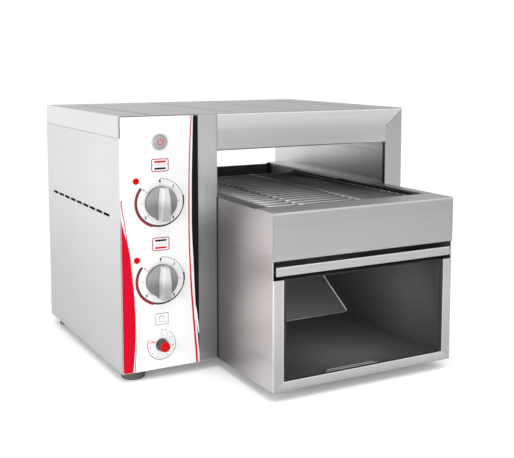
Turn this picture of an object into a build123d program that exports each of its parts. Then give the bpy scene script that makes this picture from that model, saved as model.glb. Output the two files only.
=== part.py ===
from build123d import *
from math import cos, pi, radians, sin, tan
import os

# Conveyor toaster, in millimetres.
# The model is laid out from the casing: X from its left side, Y from its front face towards
# the back, Z from its underside. The last step moves it to the row's frame, whose origin is
# the middle of the bottom of the whole machine, under its feet.

# Casing
body_depth = 354.0
body_height = 362.0
sheet = 1.2
seam = 0.6                  # open line between neighbouring covers
bend_radius = 2.0           # outside of a fold
edge_radius = 1.0           # rounded front edge of a flat sheet
control_width = 118.0       # front plate under the printed label
column_width = 30.4         # plain steel between the label and the tunnel
right_wall_width = 32.4     # hollow wall right of the tunnel
hood_height = 54.0          # front band above the tunnel
hood_return = 16.0          # its lower edge, folded back
mitre_rise = 29.0           # how far the corner joint of hood and right wall climbs
cover_flange = 30.0         # edge of the top cover, folded down
groove_width = 3.0
groove_depth = 0.8
groove_front_margin = 15.0
groove_rear_margin = 20.0
groove_places = (52.0, 182.0, 294.0, 421.0)

# Side vent
vent_count = 9
vent_length = 27.0
vent_height = 4.0
vent_pitch = 31.5
vent_first = 57.0
vent_level = 219.0

# Rear panel
rear_vent_count = 8
rear_vent_length = 60.0
rear_vent_height = 4.0
rear_vent_pitch = 11.0
rear_vent_level = 190.0
rear_window_drop = 2.7      # its sill below the deck
screw_head_radius = 3.6
screw_head_height = 2.2
screw_shank_radius = 2.0
screw_length = 7.0
screw_margin = 14.0

# Front box and the deck that carries the belt
box_depth = 165.0
deck_height = 241.0
fascia_height = 64.6
fascia_return = 10.0
front_rim = 48.0
side_rim = 17.1
rim_lip = 8.0
lip_gap = 7.4               # above the crumb tray's front lip
lip_height = 12.0
lip_drop = 5.5              # below it
lip_inset = 4.2
stile_width = 16.0
bottom_rail = 13.7

# Toast compartment, tray and chute
ceiling_back = 240.0        # where the ceiling stops and toast can drop
liner_inset = 4.5            # how far the compartment's walls stand in from the stiles
tray_clearance = 1.0
slide_gap = 0.3
tray_sheet = 1.0
tray_wall = 4.0
grip_width = 89.0
grip_offset = -23.5         # its middle, from the middle of the tunnel
grip_height = 1.7
grip_depth = 5.0
runner_width = 10.0
runner_inset = 8.0
chute_foot = 72.0           # distance of the chute's foot behind the casing's front
chute_slope = 31.0          # degrees
chute_flange = 2.0

# Crumb tray
crumb_tray_back = 230.0
crumb_tray_side = 4.0       # how far its walls stand in from the lip's ends
crumb_tray_wall = 9.0

# Wire belt
belt_width = 242.0
belt_gap = 11.5             # between the belt and the rail on each side
belt_drop = 5.0             # top of the belt below the deck
wire_radius = 1.0
wire_count = 86
wrap_teeth = 15
wrap_pitch = 9.5
front_roller_inset = 65.0   # from the front of the box
rear_roller_place = 235.0   # from the front of the casing
strand_width = 2.4
strand_height = 2.6
inner_strands = (-63.0, 34.0)
support_width = 5.0
support_height = 10.0
support_places = (-100.0, 0.0, 100.0)
support_end_gap = 6.0
crossbar_height = 5.0

# Shafts and drive
shaft_radius = 6.0
running_gap = 0.05
bush_radius = 8.0
bush_flange_radius = 10.5
bush_flange = 2.0
bush_length = 7.0
shaft_overhang = 6.0
sprocket_thickness = 6.0
sprocket_hub_radius = 10.0
sprocket_hub_length = 16.0
sprocket_tooth_height = 3.0
sprocket_places = (-80.0, 20.0, 80.0)
sprocket_gap = 0.45         # between tooth tips and the wires that they guide
tooth_shares = (0.0, 0.3, 0.55, 0.75)   # root start, root end, tip start and tip end in a pitch
chain_pitch = 6.35
drive_teeth = 20
motor_teeth = 12
chain_tooth_height = 2.4
chain_gap = 0.5
chain_height = 4.0
chain_width = 5.0
chain_sprocket_thickness = 3.0
chain_inset = 24.0          # chain line left of the tunnel's left wall
motor_level = 88.0          # height of the motor shaft
motor_shaft_radius = 4.0
motor_shaft_length = 24.0
gearbox_side = 60.0
gearbox_length = 40.0
motor_radius = 25.0
motor_length = 46.0
bracket_sheet = 3.0
bracket_foot = 30.0
tensioner_width = 14.0
tensioner_height = 24.0

# Heating
tube_radius = 5.0
cap_radius = 9.0
cap_length = 9.0
upper_tube_places = (60.0, 135.0, 210.0, 285.0)
lower_tube_places = (-40.0, 25.0, 90.0, 155.0)
upper_tube_lift = 20.0      # above the lower edge of the hood
guard_lift = 4.0
guard_strip = 2.0
guard_strip_width = 10.0
guard_rod_radius = 1.5
guard_rod_count = 7
guard_inset = 20.0
reflector_lift = 36.0
reflector_flange = 22.0
insulation_thickness = 12.0
lower_reflector_drop = 14.0     # below the roller axes
lower_reflector_margin = 12.0

# Controls
label_thickness = 0.6
label_inset = 1.3
dial_place = 59.0
button_drop = 37.0          # below the top of the casing
upper_dial_drop = 122.0
lower_dial_level = 128.6
speed_dial_level = 34.8
knob_radius = 23.0
knob_gap = 0.8
skirt_depth = 8.0
grip_reach = 16.5           # grip bar in front of the skirt, at its middle
grip_end_reach = 14.0       # and at its ends
grip_bar_width = 13.0
grip_taper = 2.5
grip_overhang = 1.2
knob_fillet = 1.2
speed_knob_radius = 9.3
speed_knob_top_radius = 7.6
speed_knob_depth = 11.0
speed_cap_radius = 7.1
speed_cap_depth = 4.0
spindle_radius = 3.0
spindle_depth_in_knob = 8.0
spindle_gap = 0.4
regulator_side = 44.0
regulator_depth = 32.0
spindle_reach = 20.0
pot_radius = 12.0
pot_depth = 14.0
bezel_radius = 11.25
bezel_width = 2.5
bezel_height = 2.0
bezel_fillet = 0.7
button_height = 3.0
button_gap = 0.3
button_travel = 2.0
button_length = 9.0
switch_length = 34.0
switch_radius = 10.0
lamp_radius = 4.5
lamp_height = 1.6
lamp_fillet = 1.3
lamp_depth = 18.0
lamp_offset = (-35.7, 31.6)

# Electrics
board_sheet = 1.6
board_size = (90.0, 70.0)
board_place = (70.0, 60.0)
standoff_radius = 3.0
standoff_length = 6.0
terminal_size = (44.0, 26.0, 24.0)
terminal_place = (24.0, 292.0)
terminal_ways = 4
gland_place = (46.0, 60.0)
gland_radius = 9.0
gland_nut_radius = 12.5
gland_nut_height = 6.0
gland_reach = 22.0
gland_inside = 12.0
cable_radius = 4.5
loom_radius = 4.0
loom_bend = 20.0

# Feet
foot_radius = 17.0
foot_height = 14.0
foot_inset = 25.0
foot_chamfer = 1.0
stud_radius = 3.0
stud_length = 10.0
stud_gap = 0.3

# What follows from the sizes above
inner_bend = bend_radius - sheet
tunnel_left = control_width + column_width
tunnel_right = tunnel_left + 2 * (side_rim + belt_gap) + belt_width
body_width = tunnel_right + right_wall_width
tunnel_middle = (tunnel_left + tunnel_right) / 2
hood_bottom = body_height - hood_height
upper_tube_level = hood_bottom + upper_tube_lift
guard_level = hood_bottom + guard_lift
reflector_level = hood_bottom + reflector_lift
upper_dial_level = body_height - upper_dial_drop
button_level = body_height - button_drop
panel_top = body_height - sheet
back_inside = body_depth - sheet
box_front = -box_depth
fascia_bottom = deck_height - fascia_height
rear_window_floor = deck_height - rear_window_drop
lip_top = fascia_bottom - lip_gap
lip_bottom = lip_top - lip_height
stile_top = lip_bottom - lip_drop
rim_back = box_front + front_rim
rail_inner = tunnel_left + side_rim
opening_left = tunnel_left + stile_width
opening_right = tunnel_right - stile_width
tray_floor = bottom_rail + slide_gap
tray_top = tray_floor + tray_sheet
liner_left = opening_left + liner_inset
liner_right = opening_right - liner_inset
tray_left = liner_left + tray_clearance
tray_right = liner_right - tray_clearance
wrap_radius = wrap_pitch / (2 * sin(pi / wrap_teeth))
belt_edge = (belt_width - strand_width) / 2
strand_places = (-belt_edge, *inner_strands, belt_edge)
belt_level = deck_height - belt_drop - wire_radius      # centre of the upper wires
roller_level = belt_level - wrap_radius
front_roller_place = box_front + front_roller_inset
sprocket_tip_radius = wrap_radius - wire_radius - sprocket_gap
support_top = belt_level - wire_radius
drive_chain_radius = chain_pitch / (2 * sin(pi / drive_teeth))
motor_chain_radius = chain_pitch / (2 * sin(pi / motor_teeth))
chain_line = tunnel_left - chain_inset
shaft_distance = roller_level - motor_level
bracket_place = chain_line - motor_shaft_length / 2
panel_back = sheet
label_front = -label_thickness
gland_end = body_depth + gland_reach
to_row = Location((-body_width / 2, -(gland_end + box_front) / 2, foot_height))


# Building blocks
def block(x0, x1, y0, y1, z0, z1):
    """Box between two corners."""
    corner = (Align.MIN, Align.MIN, Align.MIN)
    return Pos(x0, y0, z0) * Box(x1 - x0, y1 - y0, z1 - z0, align=corner)


def rod(start, length, radius, axis, top_radius=None):
    """Round bar, or cone frustum, from start along one of the axes X, Y and Z."""
    turn = {"X": Rot(0, 90, 0), "Y": Rot(-90, 0, 0), "Z": Rot(0, 0, 0)}[axis]
    base = (Align.CENTER, Align.CENTER, Align.MIN)
    if top_radius is None:
        return Pos(*start) * turn * Cylinder(radius, length, align=base)
    return Pos(*start) * turn * Cone(radius, top_radius, length, align=base)


def flat_xz(points, y0, y1):
    """Plate with an outline in X and Z, from y0 back to y1."""
    outline = Polyline(*[(x, y0, z) for x, z in points], close=True)
    return extrude(make_face(outline), amount=y1 - y0, dir=(0, 1, 0))


def flat_yz(points, x0, x1):
    """Plate with an outline in Y and Z, from x0 to x1."""
    outline = Polyline(*[(x0, y, z) for y, z in points], close=True)
    return extrude(make_face(outline), amount=x1 - x0, dir=(1, 0, 0))


def other_side(piece):
    """Mirror image on the far side of the tunnel's middle."""
    return mirror(piece, about=Plane.YZ.offset(tunnel_middle))


def group(pieces):
    """Separate solids that share a node."""
    return Compound(children=list(pieces))


def toothed_disc(x0, thickness, place, level, tip_radius, tooth_height, teeth):
    """Disc with pointed teeth, its axis along X."""
    root_radius = tip_radius - tooth_height
    points = []
    for tooth in range(teeth):
        for share, radius in zip(tooth_shares, (root_radius, root_radius, tip_radius, tip_radius)):
            angle = 2 * pi * (tooth + share) / teeth
            points.append((place + radius * cos(angle), level + radius * sin(angle)))
    return flat_yz(points, x0, x0 + thickness)


# Casing
def base_pan():
    """Floor of the casing, with holes for the studs of the feet."""
    pan = block(0, body_width, 0, body_depth, 0, sheet)
    for x, y in foot_places():
        pan -= rod((x, y, -sheet), 3 * sheet, stud_radius + stud_gap, "Z")
    return pan


def foot_places():
    far_x = body_width - foot_inset
    far_y = body_depth - foot_inset
    return [(x, y) for x in (foot_inset, far_x) for y in (foot_inset, far_y)]


def front_panel():
    """Steel front of the control side, under the label, with the holes for the controls."""
    panel = block(0, tunnel_left, 0, sheet, sheet, panel_top)
    panel = fillet(front_corner(panel).sort_by(Axis.X)[0], edge_radius)
    return panel - control_holes(-sheet, 2 * sheet)


def front_corner(piece):
    """Upright edges of a piece that lie furthest to the front."""
    return piece.edges().filter_by(Axis.Z).group_by(Axis.Y)[0]


def control_holes(y0, y1):
    """Holes that the spindles, the button and the lamps pass through."""
    depth = y1 - y0
    hole = rod((dial_place, y0, button_level), depth, switch_radius, "Y")
    for level in (upper_dial_level, lower_dial_level, speed_dial_level):
        hole += rod((dial_place, y0, level), depth, spindle_radius + spindle_gap, "Y")
    for x, z in lamp_places():
        hole += rod((x, y0, z), depth, lamp_radius, "Y")
    return hole


def lamp_places():
    dx, dz = lamp_offset
    return [(dial_place + dx, level + dz) for level in (upper_dial_level, lower_dial_level)]


def control_label():
    """Printed sheet stuck on the front panel."""
    label = block(label_inset, control_width, label_front, 0, 0, panel_top)
    label = fillet(label.edges().filter_by(Axis.Y).sort_by(Axis.X)[:2], label_inset)
    return label - control_holes(2 * label_front, -label_front)


def left_side_panel():
    """Left side, with one row of ventilation slots and a top edge under the cover's flange."""
    top = body_height - cover_flange - seam
    panel = block(0, sheet, sheet, back_inside, sheet, top)
    for i in range(vent_count):
        y = vent_first + i * vent_pitch
        slot = Plane.YZ * Pos(y, vent_level) * SlotOverall(vent_length, vent_height)
        panel -= extrude(slot, amount=2 * sheet, both=True)
    tab = block(sheet, 2 * sheet, sheet, back_inside, top - sheet, panel_top)
    bridge = block(0, 2 * sheet, sheet, back_inside, top - sheet, top)
    return panel + tab + bridge


def top_cover():
    """Lid with flanges on both sides and at the back, and four pressed grooves."""
    low = body_height - cover_flange
    front = sheet + seam
    cover = block(0, body_width, 0, body_depth, panel_top, body_height)
    cover = fillet(cover.edges().filter_by(Axis.X).group_by(Axis.Z)[-1].sort_by(Axis.Y)[0], edge_radius)
    cover += block(0, sheet, front, body_depth, low, panel_top)
    cover += block(body_width - sheet, body_width, front, body_depth, low, panel_top)
    cover += block(0, body_width, back_inside, body_depth, low, panel_top)
    folds = cover.edges().filter_by(Axis.Y).group_by(Axis.Z)[-1]
    folds += [cover.edges().filter_by(Axis.X).group_by(Axis.Z)[-1].sort_by(Axis.Y)[-1]]
    cover = fillet(folds, edge_radius)
    groove_end = body_depth - groove_rear_margin
    for x in groove_places:
        low_rib = panel_top - groove_depth
        left, right = x - groove_width / 2, x + groove_width / 2
        ridge = block(left - sheet, right + sheet, groove_front_margin, groove_end, low_rib, panel_top)
        groove = block(left, right, groove_front_margin, groove_end, body_height - groove_depth, body_height)
        cover = cover + ridge - groove
    return cover


def hood_front():
    """Band across the front of the tunnel, mitred to the right wall, its lower edge folded back."""
    corner = hood_bottom + (hood_height - mitre_rise)
    left = tunnel_left + seam
    outline = [
        (left, hood_bottom),
        (tunnel_right, hood_bottom),
        (tunnel_right, corner),
        (body_width, panel_top),
        (left, panel_top),
    ]
    band = flat_xz(outline, 0, sheet)
    band += block(left, tunnel_right, sheet, hood_return, hood_bottom, hood_bottom + sheet)
    return fold_lengthwise(band)


def fold_lengthwise(piece):
    """Rounds the lowest front edge of an angle that runs along X."""
    edge = piece.edges().filter_by(Axis.X).group_by(Axis.Z)[0].sort_by(Axis.Y)[0]
    return fillet(edge, bend_radius)


def right_side_panel():
    """Outer right side and its front flange, cut off at the mitre."""
    corner = hood_bottom + (hood_height - mitre_rise) - seam
    outline = [
        (tunnel_right, sheet),
        (body_width, sheet),
        (body_width, panel_top - seam),
        (tunnel_right, corner),
    ]
    side_top = body_height - cover_flange - seam
    side = block(body_width - sheet, body_width, sheet, back_inside, sheet, side_top)
    inner = body_width - sheet
    tab = block(inner - sheet, inner, sheet, back_inside, side_top - sheet, panel_top)
    flange = flat_xz(outline, 0, sheet) + side
    corner = front_corner(flange).sort_by(Axis.X)[-1]
    return fillet(corner, bend_radius) + tab


def rear_screw_places():
    low, high = 3 * screw_margin, body_height - 2 * cover_flange
    columns = (screw_margin, tunnel_left - screw_margin / 2, body_width - screw_margin)
    return [(x, z) for x in columns for z in (low, (low + high) / 2, high)]


def rear_panel():
    """Back of the casing, open behind the tunnel, with vents and the cable entry."""
    top = body_height - cover_flange - seam
    panel = block(0, body_width, back_inside, body_depth, sheet, top)
    panel -= block(tunnel_left, tunnel_right, back_inside - sheet, body_depth + sheet,
                   rear_window_floor, hood_bottom)
    for i in range(rear_vent_count):
        level = rear_vent_level + i * rear_vent_pitch
        slot = Plane.XZ.offset(-body_depth) * Pos(tunnel_left / 2, level)
        slot = slot * SlotOverall(rear_vent_length, rear_vent_height)
        panel -= extrude(slot, amount=2 * sheet, both=True)
    panel -= rod((gland_place[0], back_inside - sheet, gland_place[1]), 3 * sheet, gland_radius, "Y")
    for x, z in rear_screw_places():
        panel -= rod((x, back_inside - sheet, z), 3 * sheet, screw_shank_radius, "Y")
    return panel


def rear_screws():
    """Pan-head screws that hold the rear panel."""
    screws = []
    for x, z in rear_screw_places():
        head = rod((x, body_depth, z), screw_head_height, screw_head_radius, "Y")
        head = fillet(head.edges().sort_by(Axis.Y)[-1], screw_head_height / 2)
        shank = rod((x, body_depth - screw_length, z), screw_length, screw_shank_radius, "Y")
        screws.append(head + shank)
    return group(screws)


def partition_wall():
    """Wall between the electrics and the tunnel, with the drive shaft's bush hole."""
    wall = block(tunnel_left - sheet, tunnel_left, sheet, back_inside, sheet, panel_top)
    return wall - rod((tunnel_left - 2 * sheet, rear_roller_place, roller_level), 3 * sheet, bush_radius, "X")


def right_inner_wall():
    """Wall of the tunnel on its right."""
    return block(tunnel_right, tunnel_right + sheet, sheet, back_inside, sheet, panel_top)


# Front box
def box_side():
    """Left side plate from the front of the box to the back of the tunnel, its front edge a stile.

    Above the stile it stands back for the crumb tray's lip and for the fascia.
    """
    left, right = tunnel_left, tunnel_left + sheet
    stile = [
        (left, sheet),
        (right, sheet),
        (opening_left, bottom_rail),
        (opening_left, stile_top),
        (left, stile_top),
    ]
    side = flat_xz(stile, box_front, box_front + sheet)
    side += block(left, right, box_front, back_inside, sheet, stile_top)
    side = fillet(front_corner(side).sort_by(Axis.X)[0], bend_radius)
    side += block(left, right, box_front + bend_radius, back_inside, stile_top, fascia_bottom)
    return side + block(left, right, box_front + sheet, back_inside, fascia_bottom, deck_height - sheet)


def box_left_side():
    """Left side plate, with the hole for the drive shaft's bush."""
    hole = rod((tunnel_left - sheet, rear_roller_place, roller_level), 3 * sheet, bush_radius, "X")
    return box_side() - hole


def box_right_side():
    return other_side(box_side())


def box_floor():
    """Floor of the front box, its front edge folded up into a mitred rail."""
    floor = block(tunnel_left, tunnel_right, box_front, 0, 0, sheet)
    rail = [
        (tunnel_left + sheet, sheet),
        (tunnel_right - sheet, sheet),
        (opening_right, bottom_rail),
        (opening_left, bottom_rail),
    ]
    return fold_lengthwise(floor + flat_xz(rail, box_front, box_front + sheet))


def front_fascia():
    """Front plate over the tray slot, folded back at the top into the rim of the deck."""
    half = sheet / 2
    face, top = box_front + half, deck_height - half
    line = FilletPolyline(
        (box_front + fascia_return, fascia_bottom + half),
        (face, fascia_bottom + half),
        (face, top),
        (rim_back - half, top),
        (rim_back - half, deck_height - rim_lip),
        radius=bend_radius - half,
    )
    section = Plane.YZ * trace(line, line_width=sheet)
    fascia = Pos(tunnel_left, 0, 0) * extrude(section, amount=tunnel_right - tunnel_left)
    notch = block(tunnel_left, tunnel_left + sheet, box_front + sheet, rim_back,
                  fascia_bottom, deck_height - sheet)
    return fascia - notch - other_side(notch)


def left_rail():
    """Angle along the left of the belt that carries the shafts' bushes."""
    back = back_inside - sheet
    top = block(tunnel_left, rail_inner, rim_back, back, deck_height - sheet, deck_height)
    web = block(rail_inner - sheet, rail_inner, rim_back, back, fascia_bottom, deck_height)
    rail = top + web
    for place in (front_roller_place, rear_roller_place):
        rail -= rod((rail_inner - 2 * sheet, place, roller_level), 3 * sheet, bush_radius, "X")
    return rail


def right_rail():
    return other_side(left_rail())


# Toast compartment
def compartment_liner():
    """Inner walls and ceiling of the toast compartment; behind the belt its walls rise to the rails."""
    front = box_front + sheet
    outer = liner_left - sheet
    wall = block(outer, liner_left, front, back_inside, sheet, stile_top)
    wall += block(outer, liner_left, ceiling_back, back_inside, sheet, fascia_bottom)
    wall += block(opening_left - sheet, liner_left, front, front + sheet, sheet, stile_top)
    ceiling = block(outer, tunnel_middle, front, ceiling_back, stile_top - sheet, stile_top)
    half = wall + ceiling
    return half + other_side(half)


def discharge_chute():
    """Slide that turns up into the back wall of the drop, with raised edges at its sides."""
    rise = tan(radians(chute_slope))
    back = back_inside - sheet
    top = tray_top + rise * (back - chute_foot)
    profile = [
        (chute_foot, sheet),
        (chute_foot, tray_top),
        (back, top),
        (back, rear_window_floor),
        (back_inside, rear_window_floor),
        (back_inside, top - sheet),
        (chute_foot + sheet, tray_top - sheet),
        (chute_foot + sheet, sheet),
    ]
    flange = [
        (chute_foot, tray_top),
        (chute_foot, tray_top + chute_flange),
        (back, top + chute_flange),
        (back, top),
    ]
    slide = flat_yz(profile, liner_left, liner_right)
    slide += flat_yz(flange, liner_left, liner_left + sheet)
    return slide + flat_yz(flange, liner_right - sheet, liner_right)


def toast_tray():
    """Shallow tray that slides out over the bottom rail, with a finger grip at the front."""
    front = box_front + slide_gap
    back = chute_foot - 2 * slide_gap
    tray = block(tray_left, tray_right, front, back, tray_floor, tray_top)
    for x in (tray_left, tray_right - tray_sheet):
        tray += block(x, x + tray_sheet, front + grip_depth, back, tray_floor, tray_floor + tray_wall)
    grip_left = tunnel_middle + grip_offset - grip_width / 2
    return tray + block(grip_left, grip_left + grip_width, front, front + grip_depth,
                        tray_floor, tray_top + grip_height)


def tray_runners():
    """Strips under the toast tray and under the crumb tray."""
    toast_left = tray_left + runner_inset
    crumb_front = box_front + front_rim
    pieces = []
    toast = block(toast_left, toast_left + runner_width, box_front + 2 * sheet, chute_foot,
                  sheet, tray_floor - slide_gap)
    crumb = block(toast_left, toast_left + runner_width, crumb_front, crumb_tray_back,
                  stile_top, lip_bottom - slide_gap)
    for piece in (toast, crumb):
        pieces += [piece, other_side(piece)]
    return group(pieces)


def crumb_tray():
    """Wide flat tray under the belt, its front lip seen between the fascia and the compartment."""
    left = tunnel_left + lip_inset
    right = tunnel_right - lip_inset
    inner_left, inner_right = left + crumb_tray_side, right - crumb_tray_side
    tray = block(left, right, box_front, box_front + sheet, lip_bottom, lip_top)
    tray += block(inner_left, inner_right, box_front, crumb_tray_back, lip_bottom, lip_bottom + tray_sheet)
    wall_top = lip_bottom + crumb_tray_wall
    for x in (inner_left, inner_right - tray_sheet):
        tray += block(x, x + tray_sheet, box_front, crumb_tray_back, lip_bottom, wall_top)
    return tray + block(inner_left, inner_right, crumb_tray_back - tray_sheet, crumb_tray_back,
                        lip_bottom, wall_top)


# Belt
def belt_outline(offset):
    """Closed path of the belt in Y and Z, its centre line moved outwards by offset."""
    run = rear_roller_place - front_roller_place
    middle = (rear_roller_place + front_roller_place) / 2
    return Plane.YZ * Pos(middle, roller_level) * SlotCenterToCenter(run, 2 * (wrap_radius + offset))


def conveyor_belt():
    """Endless wire mesh: cross wires tied by strands of links."""
    left = tunnel_middle - belt_width / 2
    band = belt_outline(strand_height / 2) - belt_outline(-strand_height / 2)
    belt = Part()
    for place in strand_places:
        middle = tunnel_middle + place
        belt += Pos(middle - strand_width / 2, 0, 0) * extrude(band, amount=strand_width)
    path = belt_outline(0).wire()
    wires = []
    for i in range(wire_count):
        point = path @ (i / wire_count)
        wires.append(rod((left, point.Y, point.Z), belt_width, wire_radius, "X"))
    return belt + wires


def belt_supports():
    """Bars that carry the upper run of the belt, on crossbars between the rails."""
    front = front_roller_place + wrap_radius + support_end_gap
    back = rear_roller_place - wrap_radius - support_end_gap
    frame = Part()
    for place in support_places:
        x = tunnel_middle + place - support_width / 2
        frame += block(x, x + support_width, front, back, support_top - support_height, support_top)
    far = tunnel_left + tunnel_right - rail_inner
    low = support_top - support_height - crossbar_height
    for y in (front, back - support_width):
        frame += block(rail_inner, far, y, y + support_width, low, support_top - support_height)
    return frame


# Shafts
def drive_shaft():
    """Rear shaft, from the chain line to the right rail."""
    left = chain_line - chain_width
    right = tunnel_left + tunnel_right - rail_inner + shaft_overhang
    return rod((left, rear_roller_place, roller_level), right - left, shaft_radius, "X")


def idler_shaft():
    """Front shaft under the rim, with plain discs that the belt turns on."""
    left = rail_inner - shaft_overhang
    right = tunnel_left + tunnel_right - left
    shaft = rod((left, front_roller_place, roller_level), right - left, shaft_radius, "X")
    for place in sprocket_places:
        shaft += belt_disc(place, front_roller_place)
    return shaft


def belt_disc(place, y):
    """Toothed disc with its hub, on a shaft at y."""
    middle = tunnel_middle + place
    disc = toothed_disc(middle - sprocket_thickness / 2, sprocket_thickness, y, roller_level,
                        sprocket_tip_radius, sprocket_tooth_height, wrap_teeth)
    hub = rod((middle - sprocket_hub_length / 2, y, roller_level), sprocket_hub_length,
              sprocket_hub_radius, "X")
    return disc + hub


def drive_sprockets():
    """Belt sprockets, pressed on the drive shaft."""
    discs = []
    for place in sprocket_places:
        bore = rod((tunnel_middle + place - sprocket_hub_length, rear_roller_place, roller_level),
                   2 * sprocket_hub_length, shaft_radius, "X")
        discs.append(belt_disc(place, rear_roller_place) - bore)
    return group(discs)


def bush(x, y, length):
    """Flanged bush whose flange lies against a wall's face at x, on its right."""
    sleeve = rod((x - length, y, roller_level), length, bush_radius, "X")
    flange = rod((x, y, roller_level), bush_flange, bush_flange_radius, "X")
    bore = rod((x - 2 * length, y, roller_level), 4 * length, shaft_radius + running_gap, "X")
    return sleeve + flange - bore


def shaft_bushes():
    """Bearings of both shafts in both rails, and of the drive shaft in the partition."""
    pieces = []
    for place in (front_roller_place, rear_roller_place):
        piece = bush(rail_inner, place, bush_length)
        pieces += [piece, other_side(piece)]
    wall_bush = mirror(bush(tunnel_left - sheet, rear_roller_place, 2 * sheet),
                       about=Plane.YZ.offset(tunnel_left - sheet))
    return group(pieces + [wall_bush])


def driven_sprocket():
    """Chain wheel on the left end of the drive shaft."""
    tip = drive_chain_radius + chain_tooth_height / 2
    left = chain_line - chain_sprocket_thickness / 2
    wheel = toothed_disc(left, chain_sprocket_thickness, rear_roller_place, roller_level,
                         tip, chain_tooth_height, drive_teeth)
    return wheel - rod((left - sheet, rear_roller_place, roller_level), 4 * chain_width, shaft_radius, "X")


def motor_sprocket():
    """Small chain wheel on the motor's output shaft."""
    tip = motor_chain_radius + chain_tooth_height / 2
    left = chain_line - chain_sprocket_thickness / 2
    wheel = toothed_disc(left, chain_sprocket_thickness, rear_roller_place, motor_level,
                         tip, chain_tooth_height, motor_teeth)
    return wheel - rod((left - sheet, rear_roller_place, motor_level), 4 * chain_width,
                       motor_shaft_radius, "X")


def motor_output_shaft():
    left = bracket_place + bracket_sheet
    return rod((left, rear_roller_place, motor_level), motor_shaft_length, motor_shaft_radius, "X")


def chain_outline(extra):
    """Outline round both chain wheels, at extra outside their tooth tips."""
    drive = drive_chain_radius + chain_tooth_height / 2 + extra
    motor = motor_chain_radius + chain_tooth_height / 2 + extra
    upper = Pos(rear_roller_place, roller_level) * Circle(drive)
    lower = Pos(rear_roller_place, motor_level) * Circle(motor)
    return Plane.YZ * make_hull(upper.edges() + lower.edges())


def drive_chain():
    """Chain as a closed band that runs just outside the teeth."""
    band = chain_outline(chain_gap + chain_height) - chain_outline(chain_gap)
    return Pos(chain_line - chain_width / 2, 0, 0) * extrude(band, amount=chain_width)


def chain_tensioner():
    """Block on an arm from the partition that bears on the slack side of the chain."""
    level = (roller_level + motor_level) / 2
    reach = chain_gap + chain_height
    upper = drive_chain_radius + chain_tooth_height / 2 + reach
    lower = motor_chain_radius + chain_tooth_height / 2 + reach
    lean = (upper - lower) / shaft_distance
    side = sqrt_one_minus(lean)
    middle = rear_roller_place + (upper + lower) / 2 / side
    slope = lean / side
    half = tensioner_height / 2
    far = middle + tensioner_width
    points = [
        (middle - slope * half, level - half),
        (middle + slope * half, level + half),
        (far, level + half),
        (far, level - half),
    ]
    pad = flat_yz(points, chain_line - chain_width / 2, chain_line + chain_width / 2)
    return pad + block(chain_line, tunnel_left - sheet, middle + slope * half, far,
                       level - half / 2, level + half / 2)


def sqrt_one_minus(value):
    return (1 - value * value) ** 0.5


def gear_motor():
    """Gearbox on its bracket, with the motor behind it."""
    half = gearbox_side / 2
    low, high = motor_level - half, motor_level + half
    gearbox = block(bracket_place - gearbox_length, bracket_place, rear_roller_place - half,
                    rear_roller_place + half, low, high)
    gearbox = fillet(gearbox.edges().filter_by(Axis.X), 2 * bracket_sheet)
    can = rod((bracket_place - gearbox_length - motor_length, rear_roller_place, motor_level),
              motor_length, motor_radius, "X")
    bore = rod((bracket_place - gearbox_length / 2, rear_roller_place, motor_level), gearbox_length,
               motor_shaft_radius + running_gap, "X")
    return gearbox + can - bore


def motor_bracket():
    """Upright plate with a foot on the base pan."""
    half = gearbox_side / 2
    right = bracket_place + bracket_sheet
    plate = block(bracket_place, right, rear_roller_place - half, rear_roller_place + half,
                  sheet, motor_level + half)
    plate -= rod((bracket_place - bracket_sheet, rear_roller_place, motor_level), 3 * bracket_sheet,
                 motor_shaft_radius + spindle_gap, "X")
    foot = block(bracket_place - bracket_foot, right, rear_roller_place - half,
                 rear_roller_place + half, sheet, sheet + bracket_sheet)
    return plate + foot


# Heating
def upper_heating_tubes():
    left, right = tunnel_left, tunnel_right
    return group(rod((left, y, upper_tube_level), right - left, tube_radius, "X") for y in upper_tube_places)


def lower_heating_tubes():
    left, right = rail_inner, tunnel_left + tunnel_right - rail_inner
    return group(rod((left, y, roller_level), right - left, tube_radius, "X") for y in lower_tube_places)


def tube_end_caps():
    """Ceramic rings round the ends of the heating tubes."""
    caps = []
    for wall, level, places in ((tunnel_left, upper_tube_level, upper_tube_places),
                                (rail_inner, roller_level, lower_tube_places)):
        for y in places:
            ring = rod((wall, y, level), cap_length, cap_radius, "X")
            ring -= rod((wall - sheet, y, level), 2 * cap_length, tube_radius, "X")
            caps += [ring, other_side(ring)]
    return group(caps)


def upper_element_guard():
    """Wires below the upper tubes, on two cross strips."""
    low, high = guard_level, guard_level + guard_strip
    guard = Part()
    for y in (guard_inset, body_depth - guard_inset - guard_strip_width):
        guard += block(tunnel_left, tunnel_right, y, y + guard_strip_width, low, high)
    length = body_depth - 2 * guard_inset
    for i in range(guard_rod_count):
        x = tunnel_left + (i + 1) * (tunnel_right - tunnel_left) / (guard_rod_count + 1)
        guard += rod((x, guard_inset, low), length, guard_rod_radius, "Y")
    return guard


def upper_reflector():
    """Ceiling of the tunnel above the tubes, folded down at front and back."""
    front, back = hood_return, back_inside - hood_return
    low = reflector_level - reflector_flange
    ceiling = block(tunnel_left, tunnel_right, front, back, reflector_level, reflector_level + sheet)
    ceiling += block(tunnel_left, tunnel_right, front, front + sheet, low, reflector_level)
    return ceiling + block(tunnel_left, tunnel_right, back - sheet, back, low, reflector_level)


def insulation_blanket():
    low = reflector_level + sheet
    return block(tunnel_left, tunnel_right, hood_return, back_inside - hood_return,
                 low, low + insulation_thickness)


def lower_reflector():
    """Shield between the lower tubes and the returning run of the belt."""
    level = roller_level - lower_reflector_drop
    front = front_roller_place + wrap_radius + lower_reflector_margin
    back = rear_roller_place - wrap_radius - lower_reflector_margin
    return block(rail_inner, tunnel_left + tunnel_right - rail_inner, front, back, level - sheet, level)


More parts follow.
